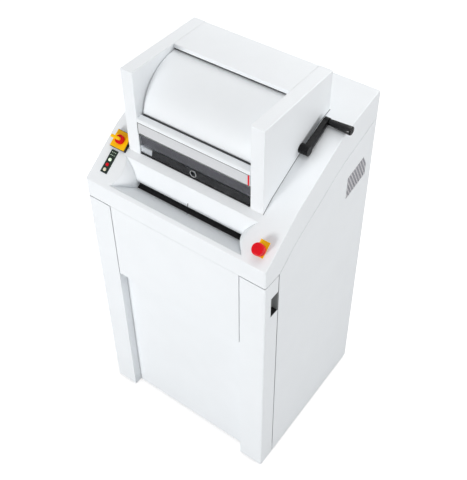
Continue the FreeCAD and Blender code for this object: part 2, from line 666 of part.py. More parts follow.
def top_housing():
    """Sloping cover: one folded and pressed shell, open below, with the tray, drum and control cut-outs."""
    body = doc.addObject("PartDesign::Body", "housing")
    pad = body.newObject("PartDesign::Pad", "housing_block")
    pad.Profile = outline(body, "YZ_Plane", [
        (FRONT, HOUSING_Z), (FRONT, EDGE_Z), (BEND_Y, BEND_Z), (KNEE_Y, KNEE_Z), (BACK, REAR_Z),
        (BACK, SKIRT_REAR_Z), (KNEE_Y, KNEE_Z - dims.skirt_drop), (BEND_Y, BEND_Z - dims.skirt_drop),
        (PANEL_Y, HOUSING_Z)])
    pad.Midplane = True
    pad.setExpression("Length", dims.width.text)
    doc.recompute()

    def front_corner(middle, edge):
        at_side = abs(abs(middle.x) - float(HALF)) < 0.1
        return at_side and abs(middle.y - float(FRONT)) < 0.1 and middle.z > float(HOUSING_Z) + 1

    corners = round_edges(body, pad, "housing_corners", dims.corner_radius, front_corner)

    def rim(middle, edge):
        at_rim = abs(middle.x) > 1 or abs(middle.y - float(FRONT)) < 0.1 or abs(middle.y - float(BACK)) < 0.1
        return at_rim and abs(middle.z - top_height(middle.y)) < 0.1

    round_edges(body, corners, "housing_rim", dims.edge_radius, rim)
    hollow = body.newObject("PartDesign::Pocket", "housing_hollow")
    hollow.Profile = outline(body, "YZ_Plane", profile(dims.gauge, HOUSING_Z - 200))
    hollow.Midplane = True
    hollow.setExpression("Length", (dims.width - dims.gauge * 2).text)
    doc.recompute()
    drum_gap = box((-1 * CHEEK_IN + dims.gauge, TOWER_Y + 4, BEND_Z - 80),
                   (CHEEK_IN - dims.gauge, TOWER_BACK - dims.gauge, REAR_Z + 50))
    reach = 20
    stem = slope_rod(STOP_X, STOP_AXIS_Y, -reach, reach, dims.stop_stem_radius + STEM_GAP)
    shaft = slope_rod(SWITCH_X, SWITCH_Y, -reach, reach, dims.switch_shaft + 3)
    keys = slope_box(KEYPAD_X, KEYPAD_Y, -reach, reach, dims.keypad_width - 8, dims.keypad_length - 8)
    keep(cut(body, [drum_gap, tray_space(), stem, shaft, keys]), "top_housing")


def tray_rim(grow, lift):
    """The tray's mouth on the slope: straight front and back, ends that bulge inward."""
    half = float(dims.tray_width) / 2 + grow
    bulge = float(dims.tray_end_bulge)
    front = float(TRAY_FRONT_Y) - grow
    back = float(TRAY_BACK_Y) + grow
    middle = (front + back) / 2

    def at(x, y):
        return Vector(x, y, float(slope_z(as_size(y))) + lift)

    return Part.Wire([
        Part.makeLine(at(-half, back), at(half, back)),
        Part.Arc(at(half, back), at(half - bulge, middle), at(half, front)).toShape(),
        Part.makeLine(at(half, front), at(-half, front)),
        Part.Arc(at(-half, front), at(-half + bulge, middle), at(-half, back)).toShape()])


def tray_throat(grow, drop):
    """The feed slot at the bottom of the tray, its front edge lower than its back edge."""
    half = float(dims.slot_width) / 2 + grow
    gap = float(dims.slot_gap) / 2 + grow
    y = float(SLOT_Y)
    z = float(SLOT_Z) - drop
    lean = gap * 0.55
    back_left = Vector(-half, y + gap, z + lean)
    back_right = Vector(half, y + gap, z + lean)
    front_right = Vector(half, y - gap, z - lean)
    front_left = Vector(-half, y - gap, z - lean)
    return Part.makePolygon([back_left, back_right, front_right, front_left, back_left])


def tray_outside():
    return Part.makeLoft([tray_rim(0, 0), tray_throat(float(dims.gauge), 0)], True, True)


def tray_space():
    """The room that the housing leaves for the tray."""
    space = doc.addObject("Part::Feature", "tray_space")
    space.Shape = tray_outside()
    return space


def feed_tray():
    """Pressed tray under the housing, its throat running on below as a short chute."""
    wall = float(dims.gauge)
    low = float(dims.throat_depth)
    overlap = 0.5
    inner = Part.makeLoft([tray_rim(-wall, 0.01), tray_throat(0, 0)], True, True)
    throat = Part.makeLoft([tray_throat(wall, 0), tray_throat(wall, low)], True, True)
    passage = Part.makeLoft([tray_throat(0, -overlap), tray_throat(0, low + overlap)], True, True)
    tray = doc.addObject("Part::Feature", "tray")
    tray.Shape = tray_outside().cut(inner).fuse(throat).cut(passage)
    keep(tray, "feed_tray")


def cheek_outline(inset, low):
    """Side view of a tower cheek, standing on the slopes of the housing."""
    front = TOWER_Y + inset
    back = TOWER_BACK - inset
    top = TOWER_Z - inset
    return [(front, slope_z(front) - low), (BEND_Y, BEND_Z - low), (KNEE_Y, KNEE_Z - low),
            (back, rear_z(back) - low), (back, top), (front, top)]


def cheek(sign, name):
    """Hollow cheek of the tower with the drum's bearing seat and the flap's pin hole."""
    middle = sign * (TOWER_HALF - dims.cheek_width / 2)
    block = slab(name + "_block", "YZ_Plane", cheek_outline(0, 0), dims.cheek_width)
    shift(block, x=middle)
    smooth = rounded(block, [(sign * TOWER_HALF, TOWER_Y, None), (sign * CHEEK_IN, TOWER_Y, None),
                             (None, TOWER_Y, TOWER_Z), (sign * TOWER_HALF, None, TOWER_Z),
                             (sign * TOWER_HALF, TOWER_BACK, None)], dims.cheek_radius)
    core = slab(name + "_core", "YZ_Plane", cheek_outline(dims.gauge, dims.cheek_foot),
                dims.cheek_width - dims.gauge * 2)
    shift(core, x=middle)
    bore_x = CHEEK_IN - PAST if sign > 0 else BLIND_X
    bore = rod((bore_x, DRUM_Y, DRUM_Z), BUSH_RADIUS, dims.cheek_width + PAST * 2, "x")
    reach = 6
    pin = rod((sign * CHEEK_IN - reach, FLAP_Y, FLAP_PIN_Z), dims.flap_pin_radius + dims.running_fit,
              reach * 2, "x")
    keep(cut(smooth, [core, bore, pin]), name)


def tower_cover():
    """Folded sheet behind and above the drum, its front edge turned down as a lip."""
    wall = dims.gauge
    side_gap = 0.5
    lip_drop = 11
    lip_y = DRUM_Y - dims.top_panel_back
    cover = slab("cover", "YZ_Plane", [
        (lip_y, TOWER_Z), (TOWER_BACK, TOWER_Z), (TOWER_BACK, rear_z(TOWER_BACK)),
        (TOWER_BACK - wall, rear_z(TOWER_BACK - wall)), (TOWER_BACK - wall, TOWER_Z - wall),
        (lip_y + wall, TOWER_Z - wall), (lip_y + wall, TOWER_Z - lip_drop), (lip_y, TOWER_Z - lip_drop)],
        (CHEEK_IN - side_gap) * 2)
    keep(cover, "tower_cover")


def tower_rail():
    """Rail across the front of the tower: a ledge that runs back to the drum, over a printed strip."""
    rise = DRUM_Z - LEDGE_Z
    ledge_y = DRUM_Y - root(dims.drum_radius * dims.drum_radius - rise * rise) - dims.drum_clearance
    skin = 3
    front = TOWER_Y + dims.gauge
    back = front + skin + BITE
    rail = slab("rail", "YZ_Plane", [
        (front, STRIP_Z), (front, RAIL_Z), (TOWER_Y, RAIL_Z), (TOWER_Y, LEDGE_Z - dims.gauge),
        (TOWER_Y + skin, LEDGE_Z), (ledge_y, LEDGE_Z + skin), (ledge_y, LEDGE_Z), (back, LEDGE_Z - skin),
        (back, STRIP_Z)], (CHEEK_IN - 0.2) * 2)
    keep(rail, "tower_front_rail")
    edge = CHEEK_IN - 0.5
    inset = dims.gauge - dims.strip_thickness
    keep(box((-1 * edge, TOWER_Y + inset, STRIP_Z + inset), (edge, front, RAIL_Z)), "label_strip")


def tower():
    """Two cheeks, a folded cover behind and above the drum, and the rail below its front."""
    cheek(-1, "tower_left_cheek")
    cheek(1, "tower_right_cheek")
    tower_cover()
    tower_rail()


def viewing_flap():
    """Clear flap below the strip, hung on two pins, with a finger hole near its lower edge."""
    side_gap = 1.5
    pin_end = 1.5
    edge = CHEEK_IN - side_gap
    half = dims.flap_thickness / 2
    plate = box((-1 * edge, FLAP_Y - half, FLAP_LOW), (edge, FLAP_Y + half, FLAP_PIN_Z))
    barrel = rod((-1 * edge, FLAP_Y, FLAP_PIN_Z), dims.flap_barrel, edge * 2, "x")
    hole = rod((0, FLAP_Y - dims.flap_thickness, FLAP_LOW + dims.finger_hole_rise), dims.finger_hole,
               dims.flap_thickness * 2, "y")
    bore = rod((-1 * edge - PAST, FLAP_Y, FLAP_PIN_Z), dims.flap_pin_radius, edge * 2 + PAST * 2, "x")
    keep(cut(join([plate, barrel]), [hole, bore]), "viewing_flap")
    start = CHEEK_IN + pin_end
    keep(rod((-1 * start, FLAP_Y, FLAP_PIN_Z), dims.flap_pin_radius, start * 2, "x"), "flap_pin")


def drum_section(half_length):
    """Cross-section of the drum's shell: an open ring whose two edges turn inward as lips."""
    radius = float(dims.drum_radius)
    inner = radius - float(dims.drum_wall)
    lip = inner - float(dims.mouth_lip)
    lip_turn = math.degrees(float(dims.drum_wall) / inner)
    opening = float(dims.mouth_angle)
    start = float(dims.mouth_turn) + opening / 2
    end = start + 360 - opening
    middle = (start + end) / 2
    centre = Vector(-half_length, float(DRUM_Y), float(DRUM_Z))

    def at(distance, angle):
        turn = math.radians(angle)
        return centre + Vector(0, distance * math.cos(turn), distance * math.sin(turn))

    return Part.Wire([
        Part.Arc(at(radius, start), at(radius, middle), at(radius, end)).toShape(),
        Part.makeLine(at(radius, end), at(lip, end)),
        Part.makeLine(at(lip, end), at(lip, end - lip_turn)),
        Part.makeLine(at(lip, end - lip_turn), at(inner, end - lip_turn)),
        Part.Arc(at(inner, end - lip_turn), at(inner, middle), at(inner, start + lip_turn)).toShape(),
        Part.makeLine(at(inner, start + lip_turn), at(lip, start + lip_turn)),
        Part.makeLine(at(lip, start + lip_turn), at(lip, start)),
        Part.makeLine(at(lip, start), at(radius, start))])


def drum():
    """Hand-turned drum: a curved shell with a mouth, closed by two end discs with bearing stubs."""
    half_length = float(DISC_FACE - dims.drum_disc)
    shell = doc.addObject("Part::Feature", "drum_shell_form")
    shell.Shape = Part.Face(drum_section(half_length)).extrude(Vector(half_length * 2, 0, 0))
    keep(shell, "drum_shell")
    end_gap = 0.5
    stub_start = BLIND_X + end_gap
    left = join([
        rod((stub_start, DRUM_Y, DRUM_Z), dims.stub_radius, BITE - DISC_FACE - stub_start, "x"),
        rod((-1 * DISC_FACE, DRUM_Y, DRUM_Z), dims.drum_radius, dims.drum_disc, "x")])
    right = join([
        rod((DISC_FACE - dims.drum_disc, DRUM_Y, DRUM_Z), dims.drum_radius, dims.drum_disc, "x"),
        rod((DISC_FACE - BITE, DRUM_Y, DRUM_Z), dims.stub_radius, TOWER_HALF - DISC_FACE + BITE, "x"),
        rod((TOWER_HALF - BITE, DRUM_Y, DRUM_Z), dims.spigot_radius, SPIGOT_END - TOWER_HALF + BITE, "x")])
    keep(group([left, right]), "drum_ends")
    bushes = []
    for start, end in ((BLIND_X, -1 * CHEEK_IN), (CHEEK_IN, TOWER_HALF)):
        bore = rod((start - PAST, DRUM_Y, DRUM_Z), dims.stub_radius + dims.running_fit,
                   end - start + PAST * 2, "x")
        bushes.append(cut(rod((start, DRUM_Y, DRUM_Z), BUSH_RADIUS, end - start, "x"), [bore]))
    keep(group(bushes), "drum_bushes")


def crank_web():
    """The arm between hub and elbow: a loft that narrows outward under a raised middle ridge."""
    turn = math.radians(float(dims.crank_angle))
    along = Vector(0, math.cos(turn), math.sin(turn))
    across = Vector(0, -math.sin(turn), math.cos(turn))
    hub = Vector(0, float(DRUM_Y), float(DRUM_Z))
    thick = float(dims.crank_thickness)
    ridge = 2
    shoulder = 0.86

    def section(distance, half_width, low_x):
        centre = hub + along * distance
        corners = []
        for share, x in ((1, low_x), (shoulder, low_x + thick - ridge), (0, low_x + thick),
                         (-shoulder, low_x + thick - ridge), (-1, low_x)):
            corners.append(centre + across * half_width * share + Vector(x, 0, 0))
        return Part.makePolygon(corners + corners[:1])

    near = section(0, float(dims.hub_radius) * 0.98, float(ARM_X))
    far = section(float(dims.crank_radius), float(dims.elbow_radius) * 0.96, float(ARM_X) + 1)
    web = doc.addObject("Part::Feature", "crank_web")
    web.Shape = Part.makeLoft([near, far], True, True)
    return web


def crank():
    """Moulded crank on the drum's right stub: tapered arm, elbow and a fluted grip that spins on its bolt."""
    y = DRUM_Y + cosine(dims.crank_angle) * dims.crank_radius
    z = DRUM_Z + sine(dims.crank_angle) * dims.crank_radius
    bolt_seat = 8
    head_depth = 5
    end_radius = 3
    bolt_start = BOLT_X - bolt_seat
    bolt_length = dims.grip_length + bolt_seat - 2
    head_x = BOLT_X + dims.grip_length - head_depth
    hub = rod((HUB_X, DRUM_Y, DRUM_Z), dims.hub_radius, ARM_X + dims.crank_thickness - HUB_X, "x")
    elbow = rod((ARM_X + 2, y, z), dims.elbow_radius, dims.crank_thickness - BITE, "x")
    socket = rod((HUB_X - PAST, DRUM_Y, DRUM_Z), dims.spigot_radius, SPIGOT_END - HUB_X + PAST * 2, "x")
    seat = rod((bolt_start, y, z), dims.grip_bolt, bolt_length, "x")
    keep(cut(join([hub, elbow, crank_web()]), [socket, seat]), "crank_arm")
    shank = rod((bolt_start, y, z), dims.grip_bolt, bolt_length, "x")
    keep(join([shank, rod((head_x, y, z), dims.bolt_head, 3, "x")]), "crank_bolt")
    grip_x = BOLT_X + 0.4
    barrel = rod((grip_x, y, z), dims.grip_radius, dims.grip_length, "x")
    barrel = rounded(barrel, [(grip_x + dims.grip_length, None, None)], end_radius)
    room = [rod((grip_x - PAST, y, z), dims.grip_bolt + dims.running_fit, dims.grip_length + PAST * 2, "x"),
            rod((head_x - 0.4, y, z), dims.bolt_head + 0.5, head_depth * 2, "x")]
    count = int(float(dims.flute_count))
    distance = dims.grip_radius + dims.flute_radius - dims.flute_depth
    for i in range(count):
        angle = math.radians(360 * i / count + 11)
        room.append(rod((grip_x + 7, y + distance * math.cos(angle), z + distance * math.sin(angle)),
                        dims.flute_radius, dims.grip_length - 15, "x"))
    keep(cut(barrel, room), "crank_grip")


def mushroom():
    """Mushroom head: a turned knob with a flared neck, its rims rounded over to a shallow crown."""
    body = doc.addObject("PartDesign::Body", "head")
    turning = body.newObject("PartDesign::Revolution", "head_turning")
    rim = dims.mushroom_radius
    neck = dims.stop_stem_radius - 0.9
    low = PLUNGER_TOP + dims.free_gap
    brim = low + 4.7
    shoulder = dims.mushroom_height - 1.2
    turning.Profile = outline(body, "XZ_Plane", [
        (0, low), (neck, low), (neck + 2.5, brim - 1), (rim, brim), (rim, shoulder),
        (0, dims.mushroom_height)])
    turning.ReferenceAxis = (turning.Profile[0], ["V_Axis"])
    doc.recompute()

    def upper_rim(middle, edge):
        return abs(middle.z - float(shoulder)) < 0.1

    def lower_rim(middle, edge):
        return abs(middle.z - float(brim)) < 0.1 and edge.Length > 2 * math.pi * (float(rim) - 1)

    crowned = round_edges(body, turning, "head_crown", dims.crown_radius, upper_rim)
    round_edges(body, crowned, "head_brim", dims.brim_radius, lower_rim)
    on_slope(body, STOP_X, STOP_AXIS_Y)
    return body


def stop_button():
    """Emergency stop: yellow plate, plunger and a mushroom head that twists to release."""
    thick = dims.stop_plate_thickness
    plate = slope_box(STOP_X, STOP_Y, 0, thick, dims.stop_plate_width, dims.stop_plate_length)
    hole = slope_rod(STOP_X, STOP_AXIS_Y, -PAST, thick + PAST, dims.stop_stem_radius + STEM_GAP)
    keep(cut(plate, [hole]), "stop_plate")
    keep(slope_rod(STOP_X, STOP_AXIS_Y, PLUNGER_LOW, PLUNGER_TOP, dims.stop_stem_radius), "stop_plunger")
    keep(mushroom(), "stop_mushroom")


def main_switch():
    """Rotary mains switch: black base, yellow plate, red knob with a yellow lever."""
    top = dims.switch_base_height
    step = top - dims.switch_face
    stem_low = -6
    width = dims.switch_plate

    def bore():
        return slope_rod(SWITCH_X, SWITCH_Y, stem_low, top + PAST, dims.switch_shaft + dims.running_fit)

    keep(cut(slope_box(SWITCH_X, SWITCH_Y, 0, step, width, width), [bore()]), "switch_base")
    plate = slope_box(SWITCH_X, SWITCH_Y, step, top, width - dims.switch_rim, width - dims.switch_rim)
    keep(cut(plate, [bore()]), "switch_plate")
    knob_top = top + dims.knob_height
    knob = slope_rod(SWITCH_X, SWITCH_Y, top + dims.free_gap, knob_top, dims.knob_radius)
    stem = slope_rod(SWITCH_X, SWITCH_Y, stem_low, top + BITE, dims.switch_shaft)
    keep(join([knob, stem]), "switch_knob")
    keep(slope_box(SWITCH_X - dims.lever_reach, SWITCH_Y, knob_top, knob_top + dims.lever_height,
                   dims.lever_length, dims.lever_width), "switch_lever")


def keypad():
    """Keypad on the left slope with three push buttons."""
    thick = dims.keypad_thickness
    plate = slope_box(KEYPAD_X, KEYPAD_Y, 0, thick, dims.keypad_width, dims.keypad_length)
    holes = []
    for i, name in enumerate(("button_reverse", "button_stop", "button_start")):
        y = KEYPAD_Y + cosine(SLOPE_ANGLE) * ((i - 1) * dims.button_pitch - dims.button_shift)
        holes.append(slope_rod(KEYPAD_X, y, -PAST, thick + PAST, dims.button_radius + dims.button_gap))
        keep(slope_rod(KEYPAD_X, y, -4, dims.button_height, dims.button_radius), name)
    keep(cut(plate, holes), "keypad_panel")


def stop_contacts():
    """Contact block on a collar under the emergency stop."""
    radius = dims.stop_stem_radius + 5
    floor = PLUNGER_LOW - 5
    ring = cut(slope_rod(STOP_X, STOP_AXIS_Y, floor, UNDERSIDE, radius),
               [slope_rod(STOP_X, STOP_AXIS_Y, floor - PAST, 0, dims.stop_stem_radius + STEM_GAP)])
    return join([slope_rod(STOP_X, STOP_AXIS_Y, floor - 29, floor, radius), ring])


def mains_contacts():
    """Switching block on a collar under the mains switch."""
    top = -7
    width = 46
    block = slope_box(SWITCH_X, SWITCH_Y, top - 51, top, width, width)
    collar = cut(slope_rod(SWITCH_X, SWITCH_Y, top, UNDERSIDE, dims.switch_shaft + 9),
                 [slope_rod(SWITCH_X, SWITCH_Y, top - PAST, 0, dims.switch_shaft + 3)])
    return join([block, collar])


def keypad_board():
    """Circuit box under the keypad, held by two long lugs."""
    top = -6
    lug = 3
    pieces = [slope_box(KEYPAD_X, KEYPAD_Y, top - 14, top, dims.keypad_width + 4, dims.keypad_length + 4)]
    for side in (-1, 1):
        pieces.append(slope_box(KEYPAD_X + side * dims.keypad_width / 2, KEYPAD_Y, top, UNDERSIDE, lug,
                                dims.keypad_length))
    return join(pieces)


def electrical_boxes():
    """Boxes behind the controls, under the slope, and the control box that stands on the deck."""
    low = (-1 * INSIDE + dims.frame_tube + 4, BACK - dims.control_box_back, DECK_TOP)
    size = (dims.control_box_width, dims.control_box_depth, dims.control_box_height)
    cabinet = box(low, [start + length for start, length in zip(low, size)])
    keep(group([stop_contacts(), mains_contacts(), keypad_board(), cabinet]), "electrical_boxes")


def gear(name, teeth, face, y, z, x, turn):
    """A spur gear about an X axis, its flanks drawn from the involute of the base circle."""
    module = float(dims.tooth_module)
    count = int(float(teeth))
    pressure = math.radians(PRESSURE_ANGLE)
    pitch = module * count / 2
    base = pitch * math.cos(pressure)
    tip = pitch + module * ADDENDUM
    foot = pitch - module * DEDENDUM
    half_at_base = math.pi / (2 * count) - float(dims.backlash) / (2 * pitch) + math.tan(pressure) - pressure

    def half_angle(radius):
        if radius <= base:
            return half_at_base
        slant = math.acos(base / radius)
        return half_at_base - (math.tan(slant) - slant)

    flank = [(radius, half_angle(radius)) for radius in (foot, max(base, foot + 0.1), pitch, tip)]
    ring = []
    for tooth in range(count):
        centre = math.radians(turn) + 2 * math.pi * tooth / count
        for side, points in ((-1, flank), (1, flank[::-1])):
            for radius, half in points:
                angle = centre + side * half
                ring.append(Vector(float(x), float(y) + radius * math.cos(angle),
                                   float(z) + radius * math.sin(angle)))
    wheel = doc.addObject("Part::Feature", name)
    wheel.Shape = Part.Face(Part.makePolygon(ring + ring[:1])).extrude(Vector(float(face), 0, 0))
    return wheel


def roller_discs(offset, direction):
    """The body of one cutting roller: spacers and discs whose rims carry hooked teeth."""
    radius = float(DISC_RADIUS)
    half = float(CUTTER_HALF)
    pitch = float(DISC_PITCH)
    thick = float(DISC_THICK)
    hooks = int(float(dims.hook_count))
    step = 2 * math.pi / hooks
    spiral = 0.21
    end_gap = 2
    rim = []
    for hook in range(hooks):
        for share in (0, 0.3, 0.6, 0.86):
            rim.append((radius, direction * step * (hook + share)))
        rim.append((radius - float(dims.hook_depth), direction * step * (hook + 0.92)))
    shape = Part.makeCylinder(float(SPACER_RADIUS), (half - end_gap) * 2, Vector(end_gap - half, 0, 0),
                              Vector(1, 0, 0))
    for i in range(int(float(dims.disc_count))):
        x = float(disc_start(i, offset))
        turn = direction * spiral * i
        corners = [Vector(x, distance * math.cos(angle + turn), distance * math.sin(angle + turn))
                   for distance, angle in rim]
        shape = shape.fuse(Part.Face(Part.makePolygon(corners + corners[:1])).extrude(Vector(thick, 0, 0)))
    return shape


def disc_start(i, offset):
    """Left face of a disc, counted along its roller."""
    return DISC_PITCH * (i + offset + 0.25) - CUTTER_HALF - DISC_THICK / 2 + 0.2


def comb(y, side, offset):
    """Comb outside a roller: a bar with a hollowed finger in each gap between two discs."""
    near = y + side * (DISC_RADIUS + 4)
    far = near + side * dims.comb_bar
    tip = y + side * SPACER_RADIUS / 2
    low = ROLLER_Z - dims.comb_low
    high = ROLLER_Z + dims.comb_high

    def block(start, end, first, last, inset_low, inset_high):
        front = min(first, last, key=float)
        back = max(first, last, key=float)
        return box((start, front, low + inset_low), (end, back, high - inset_high))

    pieces = [block(-1 * CUTTER_HALF, CUTTER_HALF, near, far, 0, 0)]
    for i in range(int(float(dims.disc_count)) - 1):
        start = disc_start(i, offset) + DISC_THICK + dims.comb_gap
        end = start + DISC_PITCH - DISC_THICK - dims.comb_gap * 2
        pieces.append(block(start, end, tip, near, 8, 6))
    room = rod((-1 * CUTTER_HALF, y, ROLLER_Z), SPACER_RADIUS + dims.comb_gap, dims.cutter_span, "x")
    return cut(join(pieces), [room])


def cutter_frame():
    """Side plates on tie rods, with a bearing for each end of each roller."""
    bore = dims.roller_shaft + dims.bearing_wall
    high = ROLLER_Z + dims.plate_head
    rod_inset = 14
    holders = []
    bearings = []
    for start in (CUTTER_HALF, -1 * CUTTER_OUT):
        plate = box((start, CUTTER_Y - CUTTER_REACH - dims.plate_front, DECK_TOP),
                    (start + dims.cutter_plate, CUTTER_Y + CUTTER_REACH + dims.plate_back, high))
        holes = []
        for y in (FRONT_ROLLER_Y, REAR_ROLLER_Y):
            holes.append(rod((start - PAST, y, ROLLER_Z), bore, dims.cutter_plate + PAST * 2, "x"))
            inside = rod((start - PAST, y, ROLLER_Z), dims.roller_shaft + dims.running_fit,
                         dims.cutter_plate + PAST * 2, "x")
            bearings.append(cut(rod((start, y, ROLLER_Z), bore, dims.cutter_plate, "x"), [inside]))
        holders.append(cut(plate, holes))
    for y in (CUTTER_Y - CUTTER_REACH - dims.plate_front / 2, CUTTER_Y + CUTTER_REACH - 6):
        for z in (DECK_TOP + rod_inset, high - rod_inset):
            holders.append(rod((-1 * CUTTER_HALF, y, z), dims.tie_rod_radius, dims.cutter_span, "x"))
    keep(group(holders), "cutter_frame")
    keep(group(bearings), "roller_bearings")


def rollers():
    """Two hooked rollers geared to each other; the rear one also carries the drive gear."""
    shaft_start = -1 * CUTTER_OUT - 4
    half_tooth = 180 + 180 / float(dims.roller_teeth)
    rear_end = DRIVE_GEAR_X + dims.gear_face + dims.gear_gap
    for name, y, offset, direction, shaft_end, turn in (
            ("front_roller", FRONT_ROLLER_Y, 0, 1, GEAR_X + dims.gear_face, 0.0),
            ("rear_roller", REAR_ROLLER_Y, 0.5, -1, rear_end, half_tooth)):
        discs = doc.addObject("Part::Feature", name + "_discs")
        discs.Shape = roller_discs(offset, direction)
        place(discs, (0, y, ROLLER_Z))
        shaft = rod((shaft_start, y, ROLLER_Z), dims.roller_shaft, shaft_end - shaft_start, "x")
        wheel = gear(name + "_gear", dims.roller_teeth, dims.gear_face, y, ROLLER_Z, GEAR_X, turn)
        keep(join([discs, shaft, wheel]), name)
    keep(group([comb(FRONT_ROLLER_Y, -1, 0), comb(REAR_ROLLER_Y, 1, 0.5)]), "stripper_combs")
    face = dims.gear_face - 4
    wheel = gear("drive_wheel", dims.drive_teeth, face, REAR_ROLLER_Y, ROLLER_Z, DRIVE_GEAR_X, 0.0)
    hole = rod((DRIVE_GEAR_X - PAST, REAR_ROLLER_Y, ROLLER_Z), dims.roller_shaft, face + PAST * 2, "x")
    keep(cut(wheel, [hole]), "drive_gear")


def pinion_turn():
    """Turn that puts a gap of the pinion at the drive gear's nearest tooth."""
    bearing = math.degrees(math.atan2(float(ROLLER_Z - MOTOR_Z), float(REAR_ROLLER_Y - MOTOR_Y)))
    share = ((bearing + 180) / 360 * float(dims.drive_teeth)) % 1
    teeth = float(dims.pinion_teeth)
    return bearing + 180 / teeth + share * 360 / teeth


def motor():
    """Finned drive motor on its foot behind the rollers, its pinion in mesh with the drive gear."""
    end = CUTTER_HALF - 4
    start = end - dims.motor_length
    foot_inset = 40
    foot_half = 45
    nose_length = 12
    shaft_inside = 19
    pieces = [rod((start, MOTOR_Y, MOTOR_Z), dims.motor_radius, dims.motor_length, "x"),
              box((start + foot_inset, MOTOR_Y - foot_half, DECK_TOP),
                  (end - foot_inset, MOTOR_Y + foot_half, MOTOR_Z)),
              rod((end - BITE, MOTOR_Y, MOTOR_Z), dims.motor_shaft + 17, nose_length, "x")]
    for i in range(int(float(dims.fin_count))):
        pieces.append(rod((start + 30 + dims.fin_pitch * i, MOTOR_Y, MOTOR_Z),
                          dims.motor_radius + dims.fin_height, dims.fin_thickness, "x"))
    bore = rod((end - shaft_inside - PAST, MOTOR_Y, MOTOR_Z), dims.motor_shaft + dims.running_fit,
               shaft_inside + nose_length + PAST * 2, "x")
    keep(cut(join(pieces), [bore]), "drive_motor")
    pinion_x = DRIVE_GEAR_X - dims.gear_gap * 2
    face = dims.gear_face + 6
    wheel = gear("pinion_wheel", dims.pinion_teeth, face, MOTOR_Y, MOTOR_Z, pinion_x, pinion_turn())
    shaft_start = end - shaft_inside
    shaft = rod((shaft_start, MOTOR_Y, MOTOR_Z), dims.motor_shaft, pinion_x + face - shaft_start, "x")
    keep(join([wheel, shaft]), "motor_pinion")


def chute():
    """Funnel under the slot and the drum, leading to the rollers."""
    half = CHEEK_IN + 1
    sheet_drop = dims.chute_sheet
    nip_z = ROLLER_Z + DISC_RADIUS + 14
    nip_front = FRONT_ROLLER_Y + 12
    nip_back = REAR_ROLLER_Y - 12
    top_y = SLOT_Y - dims.slot_gap / 2 - 6
    top_z = SLOT_Z - dims.throat_depth - 2
    rear_y = TOWER_BACK + 4
    rear_z_top = KNEE_Z - 166
    under = 8
    front = slab("front_chute", "YZ_Plane", [
        (top_y, top_z), (top_y, top_z - sheet_drop), (nip_front, nip_z - sheet_drop), (nip_front, nip_z)],
        half * 2)
    rear = slab("rear_chute", "YZ_Plane", [
        (rear_y, rear_z_top), (rear_y, rear_z_top - sheet_drop), (nip_back, nip_z - sheet_drop),
        (nip_back, nip_z)], half * 2)
    sides = []
    for sign in (-1, 1):
        side = slab("chute_side", "YZ_Plane", [
            (top_y, top_z - sheet_drop), (nip_front, nip_z - sheet_drop), (nip_back, nip_z - sheet_drop),
            (rear_y, rear_z_top - sheet_drop), (rear_y, KNEE_Z - under - 4), (KNEE_Y, KNEE_Z - under),
            (BEND_Y, BEND_Z - under), (TRAY_BACK_Y + 18, slope_z(TRAY_BACK_Y) - under),
            (SLOT_Y + 12, SLOT_Z + 2)], dims.gauge)
        sides.append(shift(side, x=sign * (half + dims.gauge / 2)))
    keep(join([front, rear] + sides), "paper_chute")


def deck():
    """Deck that carries the cutting unit and motor, with the drop opening under the rollers."""
    edge = INSIDE - dims.frame_tube
    rim = 3
    front = FRAME_Y + 6
    back = INSIDE_BACK - 2
    outer = box((-1 * edge, front, CROSSBAR_TOP), (edge, back, DECK_TOP))
    under = box((-1 * edge + rim, front + rim, CROSSBAR_TOP - PAST), (edge - rim, back - rim, DECK_Z))
    opening = box((-1 * CUTTER_HALF, CUTTER_Y - CUTTER_REACH, DECK_Z - PAST),
                  (CUTTER_HALF, CUTTER_Y + CUTTER_REACH - 14, DECK_TOP + PAST))
    keep(cut(outer, [under, opening]), "machine_deck")


def waste_bin():
    """Open bin on two glides under the deck, with a rolled rim and hand holes."""
    half = dims.bin_width / 2
    wall = dims.bin_wall
    low = BAY_Z + dims.glide_height
    high = PANEL_LOW_Z - dims.bin_gap
    front = FRAME_Y + 14
    back = front + dims.bin_depth
    rim = dims.bin_rim
    glide_inset = 30
    glide_end = 20

    def hollow(floor):
        return box((-1 * half + wall, front + wall, floor), (half - wall, back - wall, high + PAST))

    shell = cut(box((-1 * half, front, low), (half, back, high)), [hollow(low + wall)])
    rim_low = high - dims.rim_height
    edge = cut(box((-1 * half - rim, front - rim, rim_low), (half + rim, back + rim, high)),
               [hollow(rim_low - PAST)])
    glides = []
    for x in (glide_inset - half, half - glide_inset - dims.glide_width):
        glides.append(box((x, front + glide_end, BAY_Z),
                          (x + dims.glide_width, back - glide_end, low + BITE)))
    hole_high = high - dims.hand_hole_drop
    half_hole = dims.hand_hole_width / 2
    holes = box((-1 * half_hole, front - rim - PAST, hole_high - dims.hand_hole_height),
                (half_hole, back + rim + PAST, hole_high))
    keep(cut(join([shell, edge] + glides), [holes]), "waste_bin")


